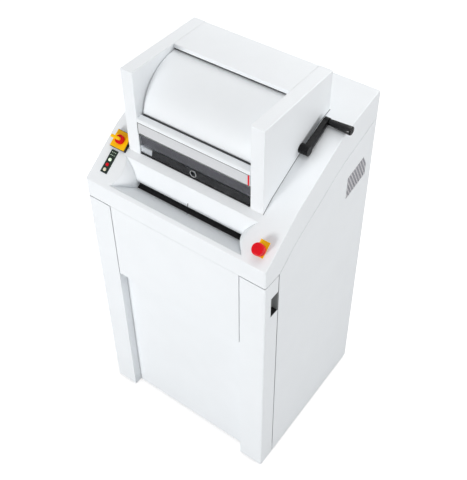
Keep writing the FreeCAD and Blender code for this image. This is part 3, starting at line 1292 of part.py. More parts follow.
def caster(x, y, number):
    """Swivel caster under the pan: a fork on its swivel post, and a wheel on the fork's axle."""
    wheel_y = y + dims.caster_trail
    wheel_z = dims.wheel_radius
    half = dims.wheel_width / 2
    side_gap = 1
    crown_low = wheel_z * 2 + 3
    crown_high = crown_low + 4
    arm_half = 10
    out = half + side_gap + dims.fork_wall
    pieces = []
    for start in (x - out, x + half + side_gap):
        pieces.append(box((start, wheel_y - arm_half, wheel_z - 8),
                          (start + dims.fork_wall, wheel_y + arm_half, crown_high - BITE)))
    pieces.append(box((x - out, y - dims.caster_stem - 2, crown_low), (x + out, wheel_y + 12, crown_high)))
    stem_low = crown_high - BITE
    stem_high = BAY_Z - dims.pan_thickness - dims.free_gap
    pieces.append(rod((x, y, stem_low), dims.caster_stem, stem_high - stem_low))
    axle_half = out + 1
    pieces.append(rod((x - axle_half, wheel_y, wheel_z), dims.axle_radius, axle_half * 2, "x"))
    keep(join(pieces), "caster_fork_%d" % number)
    tyre = rod((x - half, wheel_y, wheel_z), dims.wheel_radius, dims.wheel_width, "x")
    tyre = rounded(tyre, [(x - half, None, None), (x + half, None, None)], dims.tyre_round)
    bore = rod((x - half - PAST, wheel_y, wheel_z), dims.axle_radius + dims.running_fit,
               dims.wheel_width + PAST * 2, "x")
    keep(cut(tyre, [bore]), "caster_wheel_%d" % number)


def casters():
    number = 0
    for y in (FRAME_Y + dims.caster_inset_front, BACK - dims.caster_inset_end):
        for side in (-1, 1):
            number += 1
            caster(side * (HALF - dims.caster_inset_side), y, number)


def check_document():
    doc.recompute()
    for thing in doc.Objects:
        if "Invalid" in thing.State or "Error" in thing.State:
            raise RuntimeError("failed: %s %s" % (thing.Label, thing.State))
    for thing in parts:
        if thing.Shape.isNull() or not thing.Shape.isValid() or not thing.Shape.Solids:
            raise RuntimeError("bad shape: " + thing.Label)


def write_parts():
    os.makedirs("parts", exist_ok=True)
    for thing in parts:
        thing.Shape.exportStep("parts/%s.step" % thing.Label)
        size = thing.Shape.BoundBox
        extent = (size.XMin, size.XMax, size.YMin, size.YMax, size.ZMin, size.ZMax)
        print("%-22s solids %2d" % (thing.Label, len(thing.Shape.Solids)), "%7.1f" * 6 % extent)


for build in (base_pan, cabinet_sides, rear_panel, frame, upper_front_panel, door, door_fittings, top_housing,
              feed_tray, tower, viewing_flap, drum, crank, stop_button, main_switch, keypad, electrical_boxes,
              cutter_frame, rollers, motor, chute, deck, waste_bin, casters):
    build()
check_document()
write_parts()
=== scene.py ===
import json
import math

import bmesh
import bpy
from mathutils import Matrix, Vector, geometry


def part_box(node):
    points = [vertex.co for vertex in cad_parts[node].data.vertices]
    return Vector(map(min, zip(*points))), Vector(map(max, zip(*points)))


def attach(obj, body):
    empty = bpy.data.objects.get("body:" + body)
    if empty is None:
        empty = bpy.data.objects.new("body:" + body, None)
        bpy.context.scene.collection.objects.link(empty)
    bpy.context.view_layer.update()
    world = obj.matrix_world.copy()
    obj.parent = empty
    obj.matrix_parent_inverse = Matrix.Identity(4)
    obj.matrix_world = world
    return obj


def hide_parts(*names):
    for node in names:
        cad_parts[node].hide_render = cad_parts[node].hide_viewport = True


# The looks of an industrial paper shredder: white powder-coated sheet metal, a clear window, a black crank,
# red and yellow controls. Metres, in the part's own frame: -Y is the front, +Z up.

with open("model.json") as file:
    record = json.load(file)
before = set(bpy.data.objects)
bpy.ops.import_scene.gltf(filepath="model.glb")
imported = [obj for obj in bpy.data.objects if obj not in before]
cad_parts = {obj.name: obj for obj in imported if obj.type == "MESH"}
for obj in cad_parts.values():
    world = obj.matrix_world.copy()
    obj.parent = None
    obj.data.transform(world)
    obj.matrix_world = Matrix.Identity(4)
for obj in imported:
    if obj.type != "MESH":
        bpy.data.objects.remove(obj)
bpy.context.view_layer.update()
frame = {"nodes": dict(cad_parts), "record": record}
PHOTO_SIZE = (467, 480)
SIDES = (("left", -1), ("right", 1))


def rgba(code):
    """Linear colour of a six-digit code, fully opaque."""
    channels = [int(code[i:i + 2], 16) / 255 for i in (0, 2, 4)]
    return [c / 12.92 if c <= 0.04045 else ((c + 0.055) / 1.055) ** 2.4 for c in channels] + [1]


# Camera, solved from the straight edges of the cabinet in the photograph

FOCAL_PIXELS = 824.87
PRINCIPAL_POINT = (243.33, 182.01)
SENSOR = 36.0
CAMERA_PLACE = (1.20907, -1.61547, 2.8283)
CAMERA_PITCH = 42.0
CAMERA_YAW = 35.60
FAR_CLIP = 60


def make_camera():
    """Camera at the photograph's place, shifted so that its principal point falls where it was solved."""
    data = bpy.data.cameras.new("camera")
    longer = max(PHOTO_SIZE)
    data.sensor_width = SENSOR
    data.lens = SENSOR * FOCAL_PIXELS / longer
    data.shift_x = (PHOTO_SIZE[0] / 2 - PRINCIPAL_POINT[0]) / longer
    data.shift_y = (PRINCIPAL_POINT[1] - PHOTO_SIZE[1] / 2) / longer
    data.clip_end = FAR_CLIP
    camera = bpy.data.objects.new("camera", data)
    camera.location = CAMERA_PLACE
    camera.rotation_euler = (math.radians(90 - CAMERA_PITCH), 0, math.radians(CAMERA_YAW))
    bpy.context.scene.collection.objects.link(camera)
    bpy.context.scene.camera = camera


# Materials

BEVEL_SAMPLES = 6
NOISE_LOW = 0.3  # noise seldom leaves the stretch between these two
NOISE_HIGH = 0.7


class Finish:
    """A Principled material whose detail is worked out from the place on the part, in metres."""

    def __init__(self, name, **sockets):
        self.material = bpy.data.materials.new(name)
        self.material.use_nodes = True
        self.tree = self.material.node_tree
        self.shader = self.tree.nodes["Principled BSDF"]
        self.place = self.tree.nodes.new("ShaderNodeTexCoord").outputs["Object"]
        self.bump = None
        for socket, value in sockets.items():
            self.shader.inputs[socket.replace("_", " ")].default_value = value

    def node(self, kind, inputs=(), **settings):
        """A node with its settings, each input linked or given a value."""
        made = self.tree.nodes.new(kind)
        for key, value in settings.items():
            setattr(made, key, value)
        for key, value in dict(inputs).items():
            if isinstance(value, bpy.types.NodeSocket):
                self.tree.links.new(value, made.inputs[key])
            else:
                made.inputs[key].default_value = value
        return made

    def stretched(self, scale):
        """The place with each axis scaled, for streaks and brushing."""
        return self.node("ShaderNodeMapping", {"Vector": self.place, "Scale": scale}).outputs["Vector"]

    def noise(self, scale, detail=2.0, roughness=0.5, place=None, distortion=0.0):
        """Soft noise whose cells are about 1 / scale metres across."""
        made = self.node("ShaderNodeTexNoise", {
            "Vector": place or self.place, "Scale": scale, "Detail": detail, "Roughness": roughness,
            "Distortion": distortion})
        return made.outputs["Fac"]

    def cells(self, scale):
        """Distance to the nearest of scattered points, for grains and holes."""
        return self.node("ShaderNodeTexVoronoi", {"Vector": self.place, "Scale": scale}).outputs["Distance"]

    def paint(self, pattern, first, second, start=0.35, end=0.65):
        """Base colour that runs from one colour to another with a pattern."""
        ramp = self.node("ShaderNodeValToRGB", {"Fac": pattern})
        for stop, position, code in zip(ramp.color_ramp.elements, (start, end), (first, second)):
            stop.position = position
            stop.color = rgba(code)
        self.tree.links.new(ramp.outputs["Color"], self.shader.inputs["Base Color"])

    def gloss(self, pattern, least, most):
        """Roughness that runs between two values with a pattern."""
        spread = self.node("ShaderNodeMapRange", {
            "Value": pattern, "From Min": NOISE_LOW, "From Max": NOISE_HIGH, "To Min": least, "To Max": most})
        self.tree.links.new(spread.outputs["Result"], self.shader.inputs["Roughness"])

    def round_over(self, radius):
        """Shade sharp edges as if they were rounded to a radius in metres."""
        self.bump = self.node("ShaderNodeBevel", {"Radius": radius}, samples=BEVEL_SAMPLES).outputs["Normal"]
        self.tree.links.new(self.bump, self.shader.inputs["Normal"])

    def relief(self, height, distance, strength):
        """Add bumps of a height in metres on top of those already there."""
        inputs = {"Height": height, "Distance": distance, "Strength": strength}
        if self.bump is not None:
            inputs["Normal"] = self.bump
        self.bump = self.node("ShaderNodeBump", inputs).outputs["Normal"]
        self.tree.links.new(self.bump, self.shader.inputs["Normal"])


def powder_coat(name, light, shade, roughness):
    """Baked powder coat: orange peel about a millimetre across, faint clouds in colour and gloss."""
    finish = Finish(name, Specular_IOR_Level=0.45)
    finish.round_over(0.0013)
    finish.paint(finish.noise(7, detail=4, roughness=0.6), shade, light, start=0.3, end=0.62)
    finish.gloss(finish.noise(40, detail=3), roughness - 0.04, roughness + 0.05)
    finish.relief(finish.noise(760, detail=2, roughness=0.45), distance=0.00005, strength=0.55)
    finish.relief(finish.noise(5200, detail=1), distance=0.000008, strength=0.4)
    return finish.material


def moulded_plastic(name, light, dark, roughness, grain=2600, depth=0.00003, specular=0.5, edge=0.0008):
    """Moulded plastic with a spark-eroded grain and slightly rubbed patches."""
    finish = Finish(name, Specular_IOR_Level=specular)
    finish.round_over(edge)
    finish.paint(finish.noise(90, detail=4, roughness=0.6), dark, light)
    finish.gloss(finish.noise(60, detail=4, roughness=0.65), roughness - 0.07, roughness + 0.08)
    finish.relief(finish.noise(grain, detail=3, roughness=0.6), distance=depth, strength=0.7)
    finish.relief(finish.noise(120, detail=2), distance=0.00004, strength=0.25)
    return finish.material


def gloss_plastic(name, light, dark):
    """Glossy control plastic: a smooth skin with very shallow flow waves."""
    finish = Finish(name, Coat_Weight=0.03, Coat_Roughness=0.25, Specular_IOR_Level=0.2)
    finish.round_over(0.0008)
    finish.paint(finish.noise(160, detail=3), dark, light)
    finish.gloss(finish.noise(220, detail=3, roughness=0.6), least=0.29, most=0.41)
    finish.relief(finish.noise(420, detail=2), distance=0.00003, strength=0.3)
    return finish.material


def worked_metal(name, light, dark, roughness, streak=(40, 900, 900)):
    """Ground or turned metal: fine streaks along one axis, with duller smears."""
    finish = Finish(name, Metallic=1.0)
    lines = finish.noise(1, detail=5, roughness=0.7, place=finish.stretched(streak))
    finish.paint(finish.noise(35, detail=4, roughness=0.6, distortion=0.4), dark, light)
    finish.gloss(lines, roughness - 0.09, roughness + 0.12)
    finish.relief(lines, distance=0.00002, strength=0.6)
    return finish.material


def grainy_metal(name, light, dark, roughness, grain, depth, metallic=1.0):
    """Cast or sintered metal, or plating with its mottled grains."""
    finish = Finish(name, Metallic=metallic)
    finish.paint(finish.noise(grain / 8, detail=4, roughness=0.7), dark, light)
    finish.gloss(finish.noise(grain / 5, detail=3), roughness - 0.08, roughness + 0.1)
    finish.relief(finish.cells(grain), distance=depth, strength=0.5)
    return finish.material


def clear_sheet(name, tint):
    """Clear plastic sheet with a light smoke tint and faint wipe marks in its gloss."""
    finish = Finish(name, Transmission_Weight=1.0, IOR=1.3, Specular_IOR_Level=0.35, Base_Color=rgba(tint))
    wipes = finish.noise(1, detail=4, roughness=0.6, place=finish.stretched((6, 30, 70)))
    finish.gloss(wipes, least=0.0, most=0.01)
    return finish.material


def lit_plastic(name, light, dark, glow):
    """Translucent button over a small lamp."""
    finish = Finish(name, Coat_Weight=0.4, Coat_Roughness=0.15, Emission_Strength=glow,
                    Emission_Color=rgba(light))
    finish.paint(finish.noise(300, detail=3), dark, light)
    finish.gloss(finish.noise(260, detail=2), least=0.2, most=0.34)
    finish.relief(finish.noise(900, detail=2), distance=0.00002, strength=0.3)
    return finish.material


def rubber(name, light, dark):
    """Matt rubber with a fine bloom."""
    finish = Finish(name, Specular_IOR_Level=0.3)
    finish.paint(finish.noise(140, detail=5, roughness=0.7), dark, light)
    finish.gloss(finish.noise(90, detail=4), least=0.62, most=0.82)
    finish.relief(finish.noise(1500, detail=3, roughness=0.7), distance=0.00006, strength=0.6)
    return finish.material


def filter_foam(name, light, dark):
    """Open dust-filter foam behind the vent slots."""
    finish = Finish(name, Specular_IOR_Level=0.1, Roughness=0.95)
    holes = finish.cells(420)
    finish.paint(holes, dark, light, start=0.15, end=0.5)
    finish.relief(holes, distance=0.0008, strength=0.8)
    return finish.material


MATERIALS = {
    "white_paint": powder_coat("white_paint", "edf1f4", "ebeff2", roughness=0.42),
    # The drum's powder coat is the same white paint as white_paint, made a little darker as painted shade.
    "drum_paint": powder_coat("drum_paint", "eaeef1", "e8ecef", roughness=0.42),
    "frame_paint": powder_coat("frame_paint", "c9cccf", "c2c5c8", roughness=0.5),
    "plated_steel": grainy_metal("plated_steel", "c4c6c2", "a9aca6", roughness=0.36, grain=160,
                                 depth=0.00002),
    "label_grey": moulded_plastic("label_grey", "d2d4d7", "cfd1d4", roughness=0.45, grain=3200,
                                  depth=0.00001, specular=0.3),
    "black_plastic": moulded_plastic("black_plastic", "0e0e10", "09090b", roughness=0.26, specular=0.2,
                                     edge=0.002),
    "cup_grey": moulded_plastic("cup_grey", "9fa2a3", "989b9c", roughness=0.5),
    "bin_grey": moulded_plastic("bin_grey", "9a9da1", "8f9296", roughness=0.48, grain=1500, depth=0.00005),
    "clear_acrylic": clear_sheet("clear_acrylic", "e6e7ea"),
    "yellow_plastic": gloss_plastic("yellow_plastic", "ffc800", "ffc200"),
    "red_plastic": gloss_plastic("red_plastic", "e00018", "d80016"),
    "cream_plastic": gloss_plastic("cream_plastic", "efe9d2", "e4dcc2"),
    "lit_button": lit_plastic("lit_button", "e9f7e4", "cfeac9", glow=0.25),
    "bronze": grainy_metal("bronze", "b98a52", "9c7040", roughness=0.34, grain=1400, depth=0.00004),
    "cutter_steel": worked_metal("cutter_steel", "b4b5b6", "8d8f91", roughness=0.3),
    "gear_steel": worked_metal("gear_steel", "a9a7a2", "84827e", roughness=0.34, streak=(900, 60, 60)),
    "motor_cast": grainy_metal("motor_cast", "8c9094", "777b7f", roughness=0.5, grain=1100, depth=0.0001,
                               metallic=0.8),
    "caster_rubber": rubber("caster_rubber", "333436", "262729"),
}
WHITE_PAINT = MATERIALS["white_paint"]
# Dark grey rubber for real seals and marks, and painted shade in the gaps of the tower.
GAP_SHADE_AND_DARK_SEAL = rubber("gap_shade_and_dark_seal", "3f4043", "343538")
# Black: painted shade in the slot and in the grip cup.
PAINTED_SHADE_BLACK = rubber("painted_shade_black", "161618", "101012")
# Grey: painted shade of the drum behind the window.
PAINTED_SHADE_GREY = rubber("painted_shade_grey", "626268", "5a5a60")
FILTER_GREY = filter_foam("filter_grey", "a9a9af", "84848a")
KEYPAD_FILM = moulded_plastic("keypad_film", "16291f", "112018", roughness=0.35, grain=3800, depth=0.00001,
                              specular=0.3)
GRIP_BLACK = moulded_plastic("grip_black", "0e0e10", "0b0b0d", roughness=0.2, grain=3200, depth=0.000006,
                             specular=0.3)
# Painted shade of the window's lower part.
PAINTED_SHADE_BAND_BLACK = moulded_plastic("painted_shade_band_black", "1a1a1d", "161619", roughness=0.5, grain=3000, depth=0.00001,
                             specular=0.3)
# Painted shade of the vent's louvre blades.
PAINTED_SHADE_VENT_GREY = moulded_plastic("painted_shade_vent_grey", "c8c7ca", "c2c1c4", roughness=0.5, grain=2400, depth=0.00002,
                            specular=0.3)
# Frosted plastic of the finger ring, and painted light in the right post gap.
FROSTED_AND_GAP_LIGHT = moulded_plastic("frosted_edge_and_painted_gap_light", "d8dadc", "c4c7c9", roughness=0.5, grain=2400, depth=0.00002)


def give_materials():
    """Each CAD node gets the material of its slot, and the keypad its dark film."""
    finishes = {part["node"]: MATERIALS[part["material_slot"]] for part in frame["record"]["subparts"]}
    finishes["keypad_panel"] = KEYPAD_FILM
    for node, material in finishes.items():
        mesh = frame["nodes"][node].data
        mesh.materials.clear()
        mesh.materials.append(material)


# Places on the part: the corners of the housing's sloping top, as the CAD has them, and boxes of its nodes

SLOPE_RISE = 0.118
SLOPE_RUN = 0.161
FRONT_SLOPE = math.atan2(SLOPE_RISE, SLOPE_RUN)
SLOPE_NORMAL = Vector((0, -math.sin(FRONT_SLOPE), math.cos(FRONT_SLOPE)))
SLOPE_EDGE = Vector((0, -0.306, 1.069))
BEND = Vector((0, -0.145, 1.187))
KNEE = Vector((0, 0.100, 1.310))
REAR = Vector((0, 0.306, 1.350))
ACROSS = Vector((1, 0, 0))
FORWARD = (0, -1, 0)
BACKWARD = (0, 1, 0)


def low(node):
    """Lowest corner of a node's box."""
    return Vector(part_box(node)[0])


def high(node):
    """Highest corner of a node's box."""
    return Vector(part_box(node)[1])


def middle(node):
    """Centre of a node's box."""
    return (low(node) + high(node)) / 2


def top_z(y):
    """Height of the sloping top at a depth."""
    corners = [SLOPE_EDGE, BEND, KNEE, REAR]
    for start, end in zip(corners, corners[1:]):
        if y <= end.y:
            return start.z + (y - start.y) * (end.z - start.z) / (end.y - start.y)
    return REAR.z


def on_slope(x, y, lift=0.0):
    """Place on the front slope, or a lift above it."""
    return Vector((x, y, SLOPE_EDGE.z + (y - SLOPE_EDGE.y) * math.tan(FRONT_SLOPE))) + SLOPE_NORMAL * lift


def dropped(place):
    """The point of the front slope that is square below a place."""
    return place - SLOPE_NORMAL * (place - SLOPE_EDGE).dot(SLOPE_NORMAL)


def aim(place, direction):
    """Matrix that stands local Z along a direction at a place."""
    turn = Vector(direction).to_track_quat("Z", "Y").to_matrix().to_4x4()
    return Matrix.Translation(place) @ turn


def axes(place, x_way, y_way, z_way):
    """Matrix that turns local X, Y and Z to three directions at a place."""
    turn = Matrix((x_way, y_way, z_way)).transposed().to_4x4()
    turn.translation = place
    return turn


# Mesh helpers

BAR_EDGE = 0.0004
BAR_SEGMENTS = 3
POLE_RADIUS = 1e-6


def add_piece(name, mesh_data, body, material, smooth_angle=35):
    """Finish a mesh: outward normals, smooth faces, its material, and the body that it rides on."""
    bmesh.ops.recalc_face_normals(mesh_data, faces=mesh_data.faces)
    mesh = bpy.data.meshes.new(name)
    mesh_data.to_mesh(mesh)
    mesh_data.free()
    mesh.materials.append(material)
    mesh.shade_smooth()
    mesh.set_sharp_from_angle(angle=math.radians(smooth_angle))
    piece = bpy.data.objects.new(name, mesh)
    bpy.context.scene.collection.objects.link(piece)
    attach(piece, body)
    return piece


def arc(centre, radius, start, end, steps):
    """Points along an arc about a 2-D centre, angles in degrees."""
    points = []
    for i in range(steps + 1):
        angle = math.radians(start + (end - start) * i / steps)
        points.append((centre[0] + radius * math.cos(angle), centre[1] + radius * math.sin(angle)))
    return points


def turned(bm, profile, matrix, steps, closed=False):
    """Turn an outline of (radius, height) points about local Z; a closed one returns to its first point."""
    rings = []
    for radius, height in profile:
        around = [2 * math.pi * i / steps for i in range(steps)] if radius > POLE_RADIUS else [0]
        places = [Vector((radius * math.cos(angle), radius * math.sin(angle), height)) for angle in around]
        rings.append([bm.verts.new(matrix @ place) for place in places])
    if closed:
        rings.append(rings[0])
    for first, second in zip(rings, rings[1:]):
        for i in range(steps):
            j = (i + 1) % steps
            corners = [first[i % len(first)], first[j % len(first)],
                       second[j % len(second)], second[i % len(second)]]
            corners = list(dict.fromkeys(corners))
            if len(corners) > 2:
                bm.faces.new(corners)


def ring(bm, matrix, radius, tube, steps, sides):
    """A round ring of a round section about local Z."""
    turned(bm, arc((radius, 0), tube, 0, 360, sides)[:-1], matrix, steps, closed=True)


def collar(bm, matrix, steps, bore, radius, foot, foot_round, shoulder, top_round, top_turn, top):
    """A collar about local Z: a rounded foot, a straight side, and from its shoulder a domed top."""
    lower = arc((radius - foot_round, foot + foot_round), foot_round, -90, 0, 3)
    upper = arc((radius - top_round, shoulder), top_round, 0, top_turn, 4)
    turned(bm, [(bore, foot)] + lower + upper + [(bore, top)], matrix, steps, closed=True)


def lofted(bm, sections, ends="capped"):
    """Faces from each outline of places to the next; the two ends are capped, open, or joined in a round."""
    loops = [[bm.verts.new(place) for place in section] for section in sections]
    if ends == "joined":
        loops.append(loops[0])
    for first, second in zip(loops, loops[1:]):
        for i in range(len(first)):
            j = (i + 1) % len(first)
            bm.faces.new([first[i], first[j], second[j], second[i]])
    if ends == "capped":
        bm.faces.new(loops[0])
        bm.faces.new(list(reversed(loops[-1])))


def flat_sheet(bm, loops, offset):
    """A sheet as thick as an offset, inside the first loop of places, with the other loops as its holes."""
    edges = []
    for loop in loops:
        verts = [bm.verts.new(place) for place in loop]
        edges += [bm.edges.new((verts[i], verts[(i + 1) % len(verts)])) for i in range(len(verts))]
    filled = bmesh.ops.triangle_fill(bm, edges=edges, use_beauty=True)["geom"]
    faces = [item for item in filled if isinstance(item, bmesh.types.BMFace)]
    grown = bmesh.ops.extrude_face_region(bm, geom=faces)["geom"]
    verts = [item for item in grown if isinstance(item, bmesh.types.BMVert)]
    bmesh.ops.translate(bm, vec=offset, verts=verts)


def bar(bm, start, end, edge=BAR_EDGE, matrix=Matrix()):
    """A bar between two corners with its edges rounded."""
    verts = bmesh.ops.create_cube(bm, size=1)["verts"]
    bmesh.ops.scale(bm, vec=Vector(end) - Vector(start), verts=verts)
    bmesh.ops.translate(bm, vec=(Vector(start) + Vector(end)) / 2, verts=verts)
    bmesh.ops.transform(bm, matrix=matrix, verts=verts)
    edges = list({e for v in verts for e in v.link_edges})
    bmesh.ops.bevel(bm, geom=edges, offset=edge, segments=BAR_SEGMENTS, affect="EDGES", profile=0.5)


def add_bars(name, body, slot, material, *bars):
    """A piece of bars, each given by its two corners and, where it isn't the usual one, its edge."""
    bm = bmesh.new()
    for corners in bars:
        bar(bm, *corners)
    add_piece(name, bm, body, material)


# Feed tray: a pressed pan whose rear wall rolls under into the slot, between two cone-like ends.
# A depth runs from 0 at the pan's rim to 1 inside the slot. The rear wall is rolled between two depths, and
# the front wall reaches the slot at a third.

TRAY_FRONT = -0.2949
TRAY_BACK = -0.2071
TRAY_HALF = 0.2569
TRAY_BULGE = 0.019
TRAY_WALL = 0.0015
TRAY_RINGS = 30
TRAY_END_STEPS = 20
SLOT_HALF = 0.206
SLOT_FRONT = Vector((0, -0.2213, 1.0420))
ROLL_CENTRE = Vector((0, -0.2005, 1.0765))
ROLL_RADIUS = 0.020
ROLL_START = -11.6
ROLL_END = 60
THROAT_ANGLE = math.radians(30)
THROAT = Vector((0, math.cos(THROAT_ANGLE), -math.sin(THROAT_ANGLE)))
THROAT_DEPTH = 0.008
ROLL_FROM = 0.7
ROLL_TO = 0.95
SLOT_FROM = 0.88

# How the pan's ends curve in: their steepness behind, what it loses towards the front and gains half way
# across, and how much later the middle sinks

END_STEEPNESS = 1.7
END_EASE = 0.6
END_SWELL = 0.45
END_SINK = 0.22


def roll_point(degrees):
    """Place on the rolled foot of the rear wall."""
    angle = math.radians(degrees)
    return ROLL_CENTRE - Vector((0, math.cos(angle), math.sin(angle))) * ROLL_RADIUS


def tray_rear_wall(depth):
    """Rear wall from its rim, round the roll and into the slot."""
    if depth < ROLL_FROM:
        return on_slope(0, TRAY_BACK).lerp(roll_point(ROLL_START), depth / ROLL_FROM)
    if depth < ROLL_TO:
        share = (depth - ROLL_FROM) / (ROLL_TO - ROLL_FROM)
        return roll_point(ROLL_START + (ROLL_END - ROLL_START) * share)
    return roll_point(ROLL_END) + THROAT * THROAT_DEPTH * (depth - ROLL_TO) / (1 - ROLL_TO)


def tray_front_wall(depth):
    """Front wall from its rim down to the slot's front edge and on into the slot."""
    if depth < SLOT_FROM:
        return on_slope(0, TRAY_FRONT).lerp(SLOT_FRONT, depth / SLOT_FROM)
    return SLOT_FRONT + THROAT * (THROAT_DEPTH + ROLL_RADIUS) * (depth - SLOT_FROM) / (1 - SLOT_FROM)


def tray_end_point(depth, across):
    """Place on the right end at a depth, from the rear wall, 0, across to the front wall, 1."""
    swell = math.sin(math.pi * across)
    steepness = END_STEEPNESS - END_EASE * across + END_SWELL * swell
    sunk = depth ** (1 + END_SINK * swell)
    reach = 1 - (1 - min(depth / SLOT_FROM, 1)) ** steepness
    arch = 4 * across * (1 - across)
    place = tray_rear_wall(sunk).lerp(tray_front_wall(sunk), across)
    place.x = TRAY_HALF + (SLOT_HALF - TRAY_HALF) * reach - TRAY_BULGE * arch * (1 - reach)
    return place


def feed_tray():
    """Pressed pan of rings from its rim down; their order sets the side that the wall's thickness is on."""
    rings = []
    for step in range(TRAY_RINGS + 1):
        depth = step / TRAY_RINGS
        end = [tray_end_point(depth, i / TRAY_END_STEPS) for i in range(TRAY_END_STEPS + 1)]
        rings.append(end + [Vector((-p.x, p.y, p.z)) for p in reversed(end)])
    bm = bmesh.new()
    lofted(bm, rings[::-1], ends="open")
    bm.normal_update()
    bmesh.ops.solidify(bm, geom=bm.faces[:], thickness=TRAY_WALL)
    piece = add_piece("pressed_feed_tray", bm, "cabinet", WHITE_PAINT, smooth_angle=30)
    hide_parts("feed_tray")


def chute_below_tray():
    """The paper chute, its front wall trimmed to stay under the pressed tray."""
    run = (SLOT_FRONT - on_slope(0, TRAY_FRONT)).normalized()
    tilt = run.z / run.y
    gap = 0.0045
    bm = bmesh.new()
    bm.from_mesh(frame["nodes"]["paper_chute"].data)
    for vert in bm.verts:
        limit = SLOT_FRONT.z + (vert.co.y - SLOT_FRONT.y) * tilt - gap
        if vert.co.y < ROLL_CENTRE.y and vert.co.z > limit:
            vert.co.z = limit
    piece = add_piece("trimmed_paper_chute", bm, "cabinet", WHITE_PAINT)
    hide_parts("paper_chute")


def painted_shade_slot_lips():
    """Black lips that close the slot, painted shade for the dark inside of the slot: one lies on its front
    edge, one hangs behind it.
    """
    half_thickness = 0.0006
    overlap = 0.0003
    lower_start = SLOT_FRONT + Vector((0, -0.0006, 0.0009))
    lower_end = Vector((0, -0.2085, 1.0500))
    upper_start = SLOT_FRONT + THROAT * 0.012
    upper_end = roll_point(ROLL_END) + THROAT * 0.002
    for name, start, end in (("lower", lower_start, lower_end), ("upper", upper_start, upper_end)):
        along = (end - start).normalized()
        turn = axes(start, ACROSS, along, Vector((0, along.z, -along.y)))
        bm = bmesh.new()
        bar(bm, (-SLOT_HALF - overlap, 0, -half_thickness),
            (SLOT_HALF + overlap, (end - start).length, half_thickness), matrix=turn)
        add_piece("painted_shade_slot_lip_" + name, bm, "cabinet", PAINTED_SHADE_BLACK)


def centre_marks():
    """Short marks above and below the middle of the slot, for centring the paper."""
    half_width = 0.0012
    sunk = 0.0001
    proud = 0.0003
    edge = 0.00015
    rear_start = tray_rear_wall(0.66)
    rear_along = (tray_rear_wall(0.72) - rear_start).normalized()
    rear_length = 0.0125
    front_along = (tray_front_wall(0.0) - SLOT_FRONT).normalized()
    front_length = 0.0090
    marks = ((rear_start, rear_along, rear_length), (SLOT_FRONT, front_along, front_length))
    bm = bmesh.new()
    for start, along, length in marks:
        out = Vector((0, along.z, -along.y))
        if out.z < 0:
            out = -out
        bar(bm, (-half_width, 0, -sunk), (half_width, length, proud), edge, axes(start, ACROSS, along, out))
    add_piece("centre_marks", bm, "cabinet", GAP_SHADE_AND_DARK_SEAL)


# Folded sheets

COVER_LIP_Y = 0.004
COVER_LIP = 0.014
COVER_BEND = 0.0032
SHEET = 0.002
HOUSING_BEND = 0.008


def rounded_outline(points, radii):
    """Closed outline of 2-D points whose corners are rounded, each with its own radius."""
    steps = 6
    out = []
    for i, radius in enumerate(radii):
        corner = Vector(points[i])
        if radius == 0:
            out.append(corner)
            continue
        before = (Vector(points[i - 1]) - corner).normalized()
        after = (Vector(points[(i + 1) % len(points)]) - corner).normalized()
        half = before.angle(after) / 2
        centre = corner + (before + after).normalized() * radius / math.sin(half)
        start = corner + before * radius / math.tan(half) - centre
        end = corner + after * radius / math.tan(half) - centre
        sweep = start.angle_signed(end)
        out += [centre + Matrix.Rotation(-sweep * k / steps, 2) @ start for k in range(steps + 1)]
    return out


def tower_cover():
    """Folded sheet over the tower, its front edge turned down just above the drum's crown."""
    cover_low = low("tower_cover")
    cover_high = high("tower_cover")
    top = cover_high.z
    back = cover_high.y
    foot = cover_low.z + 0.0002
    lip = top - COVER_LIP
    front = COVER_LIP_Y
    inner_bend = COVER_BEND - SHEET
    cut_edge = 0.0006
    points = [(front, top), (back, top), (back, foot), (back - SHEET, foot), (back - SHEET, top - SHEET),
              (front + SHEET, top - SHEET), (front + SHEET, lip), (front, lip)]
    radii = [COVER_BEND, COVER_BEND, 0, 0, inner_bend, inner_bend, cut_edge, cut_edge]
    outline = rounded_outline(points, radii)
    bm = bmesh.new()
    lofted(bm, [[(x, y, z) for y, z in outline] for x in (cover_low.x, cover_high.x)])
    piece = add_piece("folded_tower_cover", bm, "cabinet", WHITE_PAINT)
    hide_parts("tower_cover")


def corner_welds():
    """Ground welds down the housing's two front corners, where the folded skirts meet."""
    housing_low = low("top_housing")
    centre = (high("top_housing").x - HOUSING_BEND, housing_low.y + HOUSING_BEND)
    proud = 0.00008
    depth = 0.0006
    foot = housing_low.z + 0.0003
    head = SLOPE_EDGE.z - 0.0016
    start = -12
    end = -78
    steps = 12
    outer = arc(centre, HOUSING_BEND + proud, start, end, steps)
    inner = arc(centre, HOUSING_BEND - depth, end, start, steps)
    for name, side in SIDES:
        bm = bmesh.new()
        lofted(bm, [[(side * x, y, z) for x, y in outer + inner] for z in (foot, head)])
        add_piece("corner_weld_" + name, bm, "cabinet", WHITE_PAINT)


def upper_panel_head():
    """Folded head of the upper front panel, which closes the gap under the housing to a hairline."""
    panel_low = low("upper_front_panel")
    panel_high = high("upper_front_panel")
    overlap = 0.0002
    fold = 0.0080
    seam = 0.0006
    edge = 0.0005
    add_bars("upper_panel_head", "cabinet", "white_paint", WHITE_PAINT, (
        (panel_low.x, panel_low.y, panel_high.z - overlap),
        (panel_high.x, panel_low.y + fold, low("top_housing").z - seam), edge))


# Seals and gaskets, the thin dark lines of the tower: dark strips set in the gaps as painted shade for their
# shadow lines

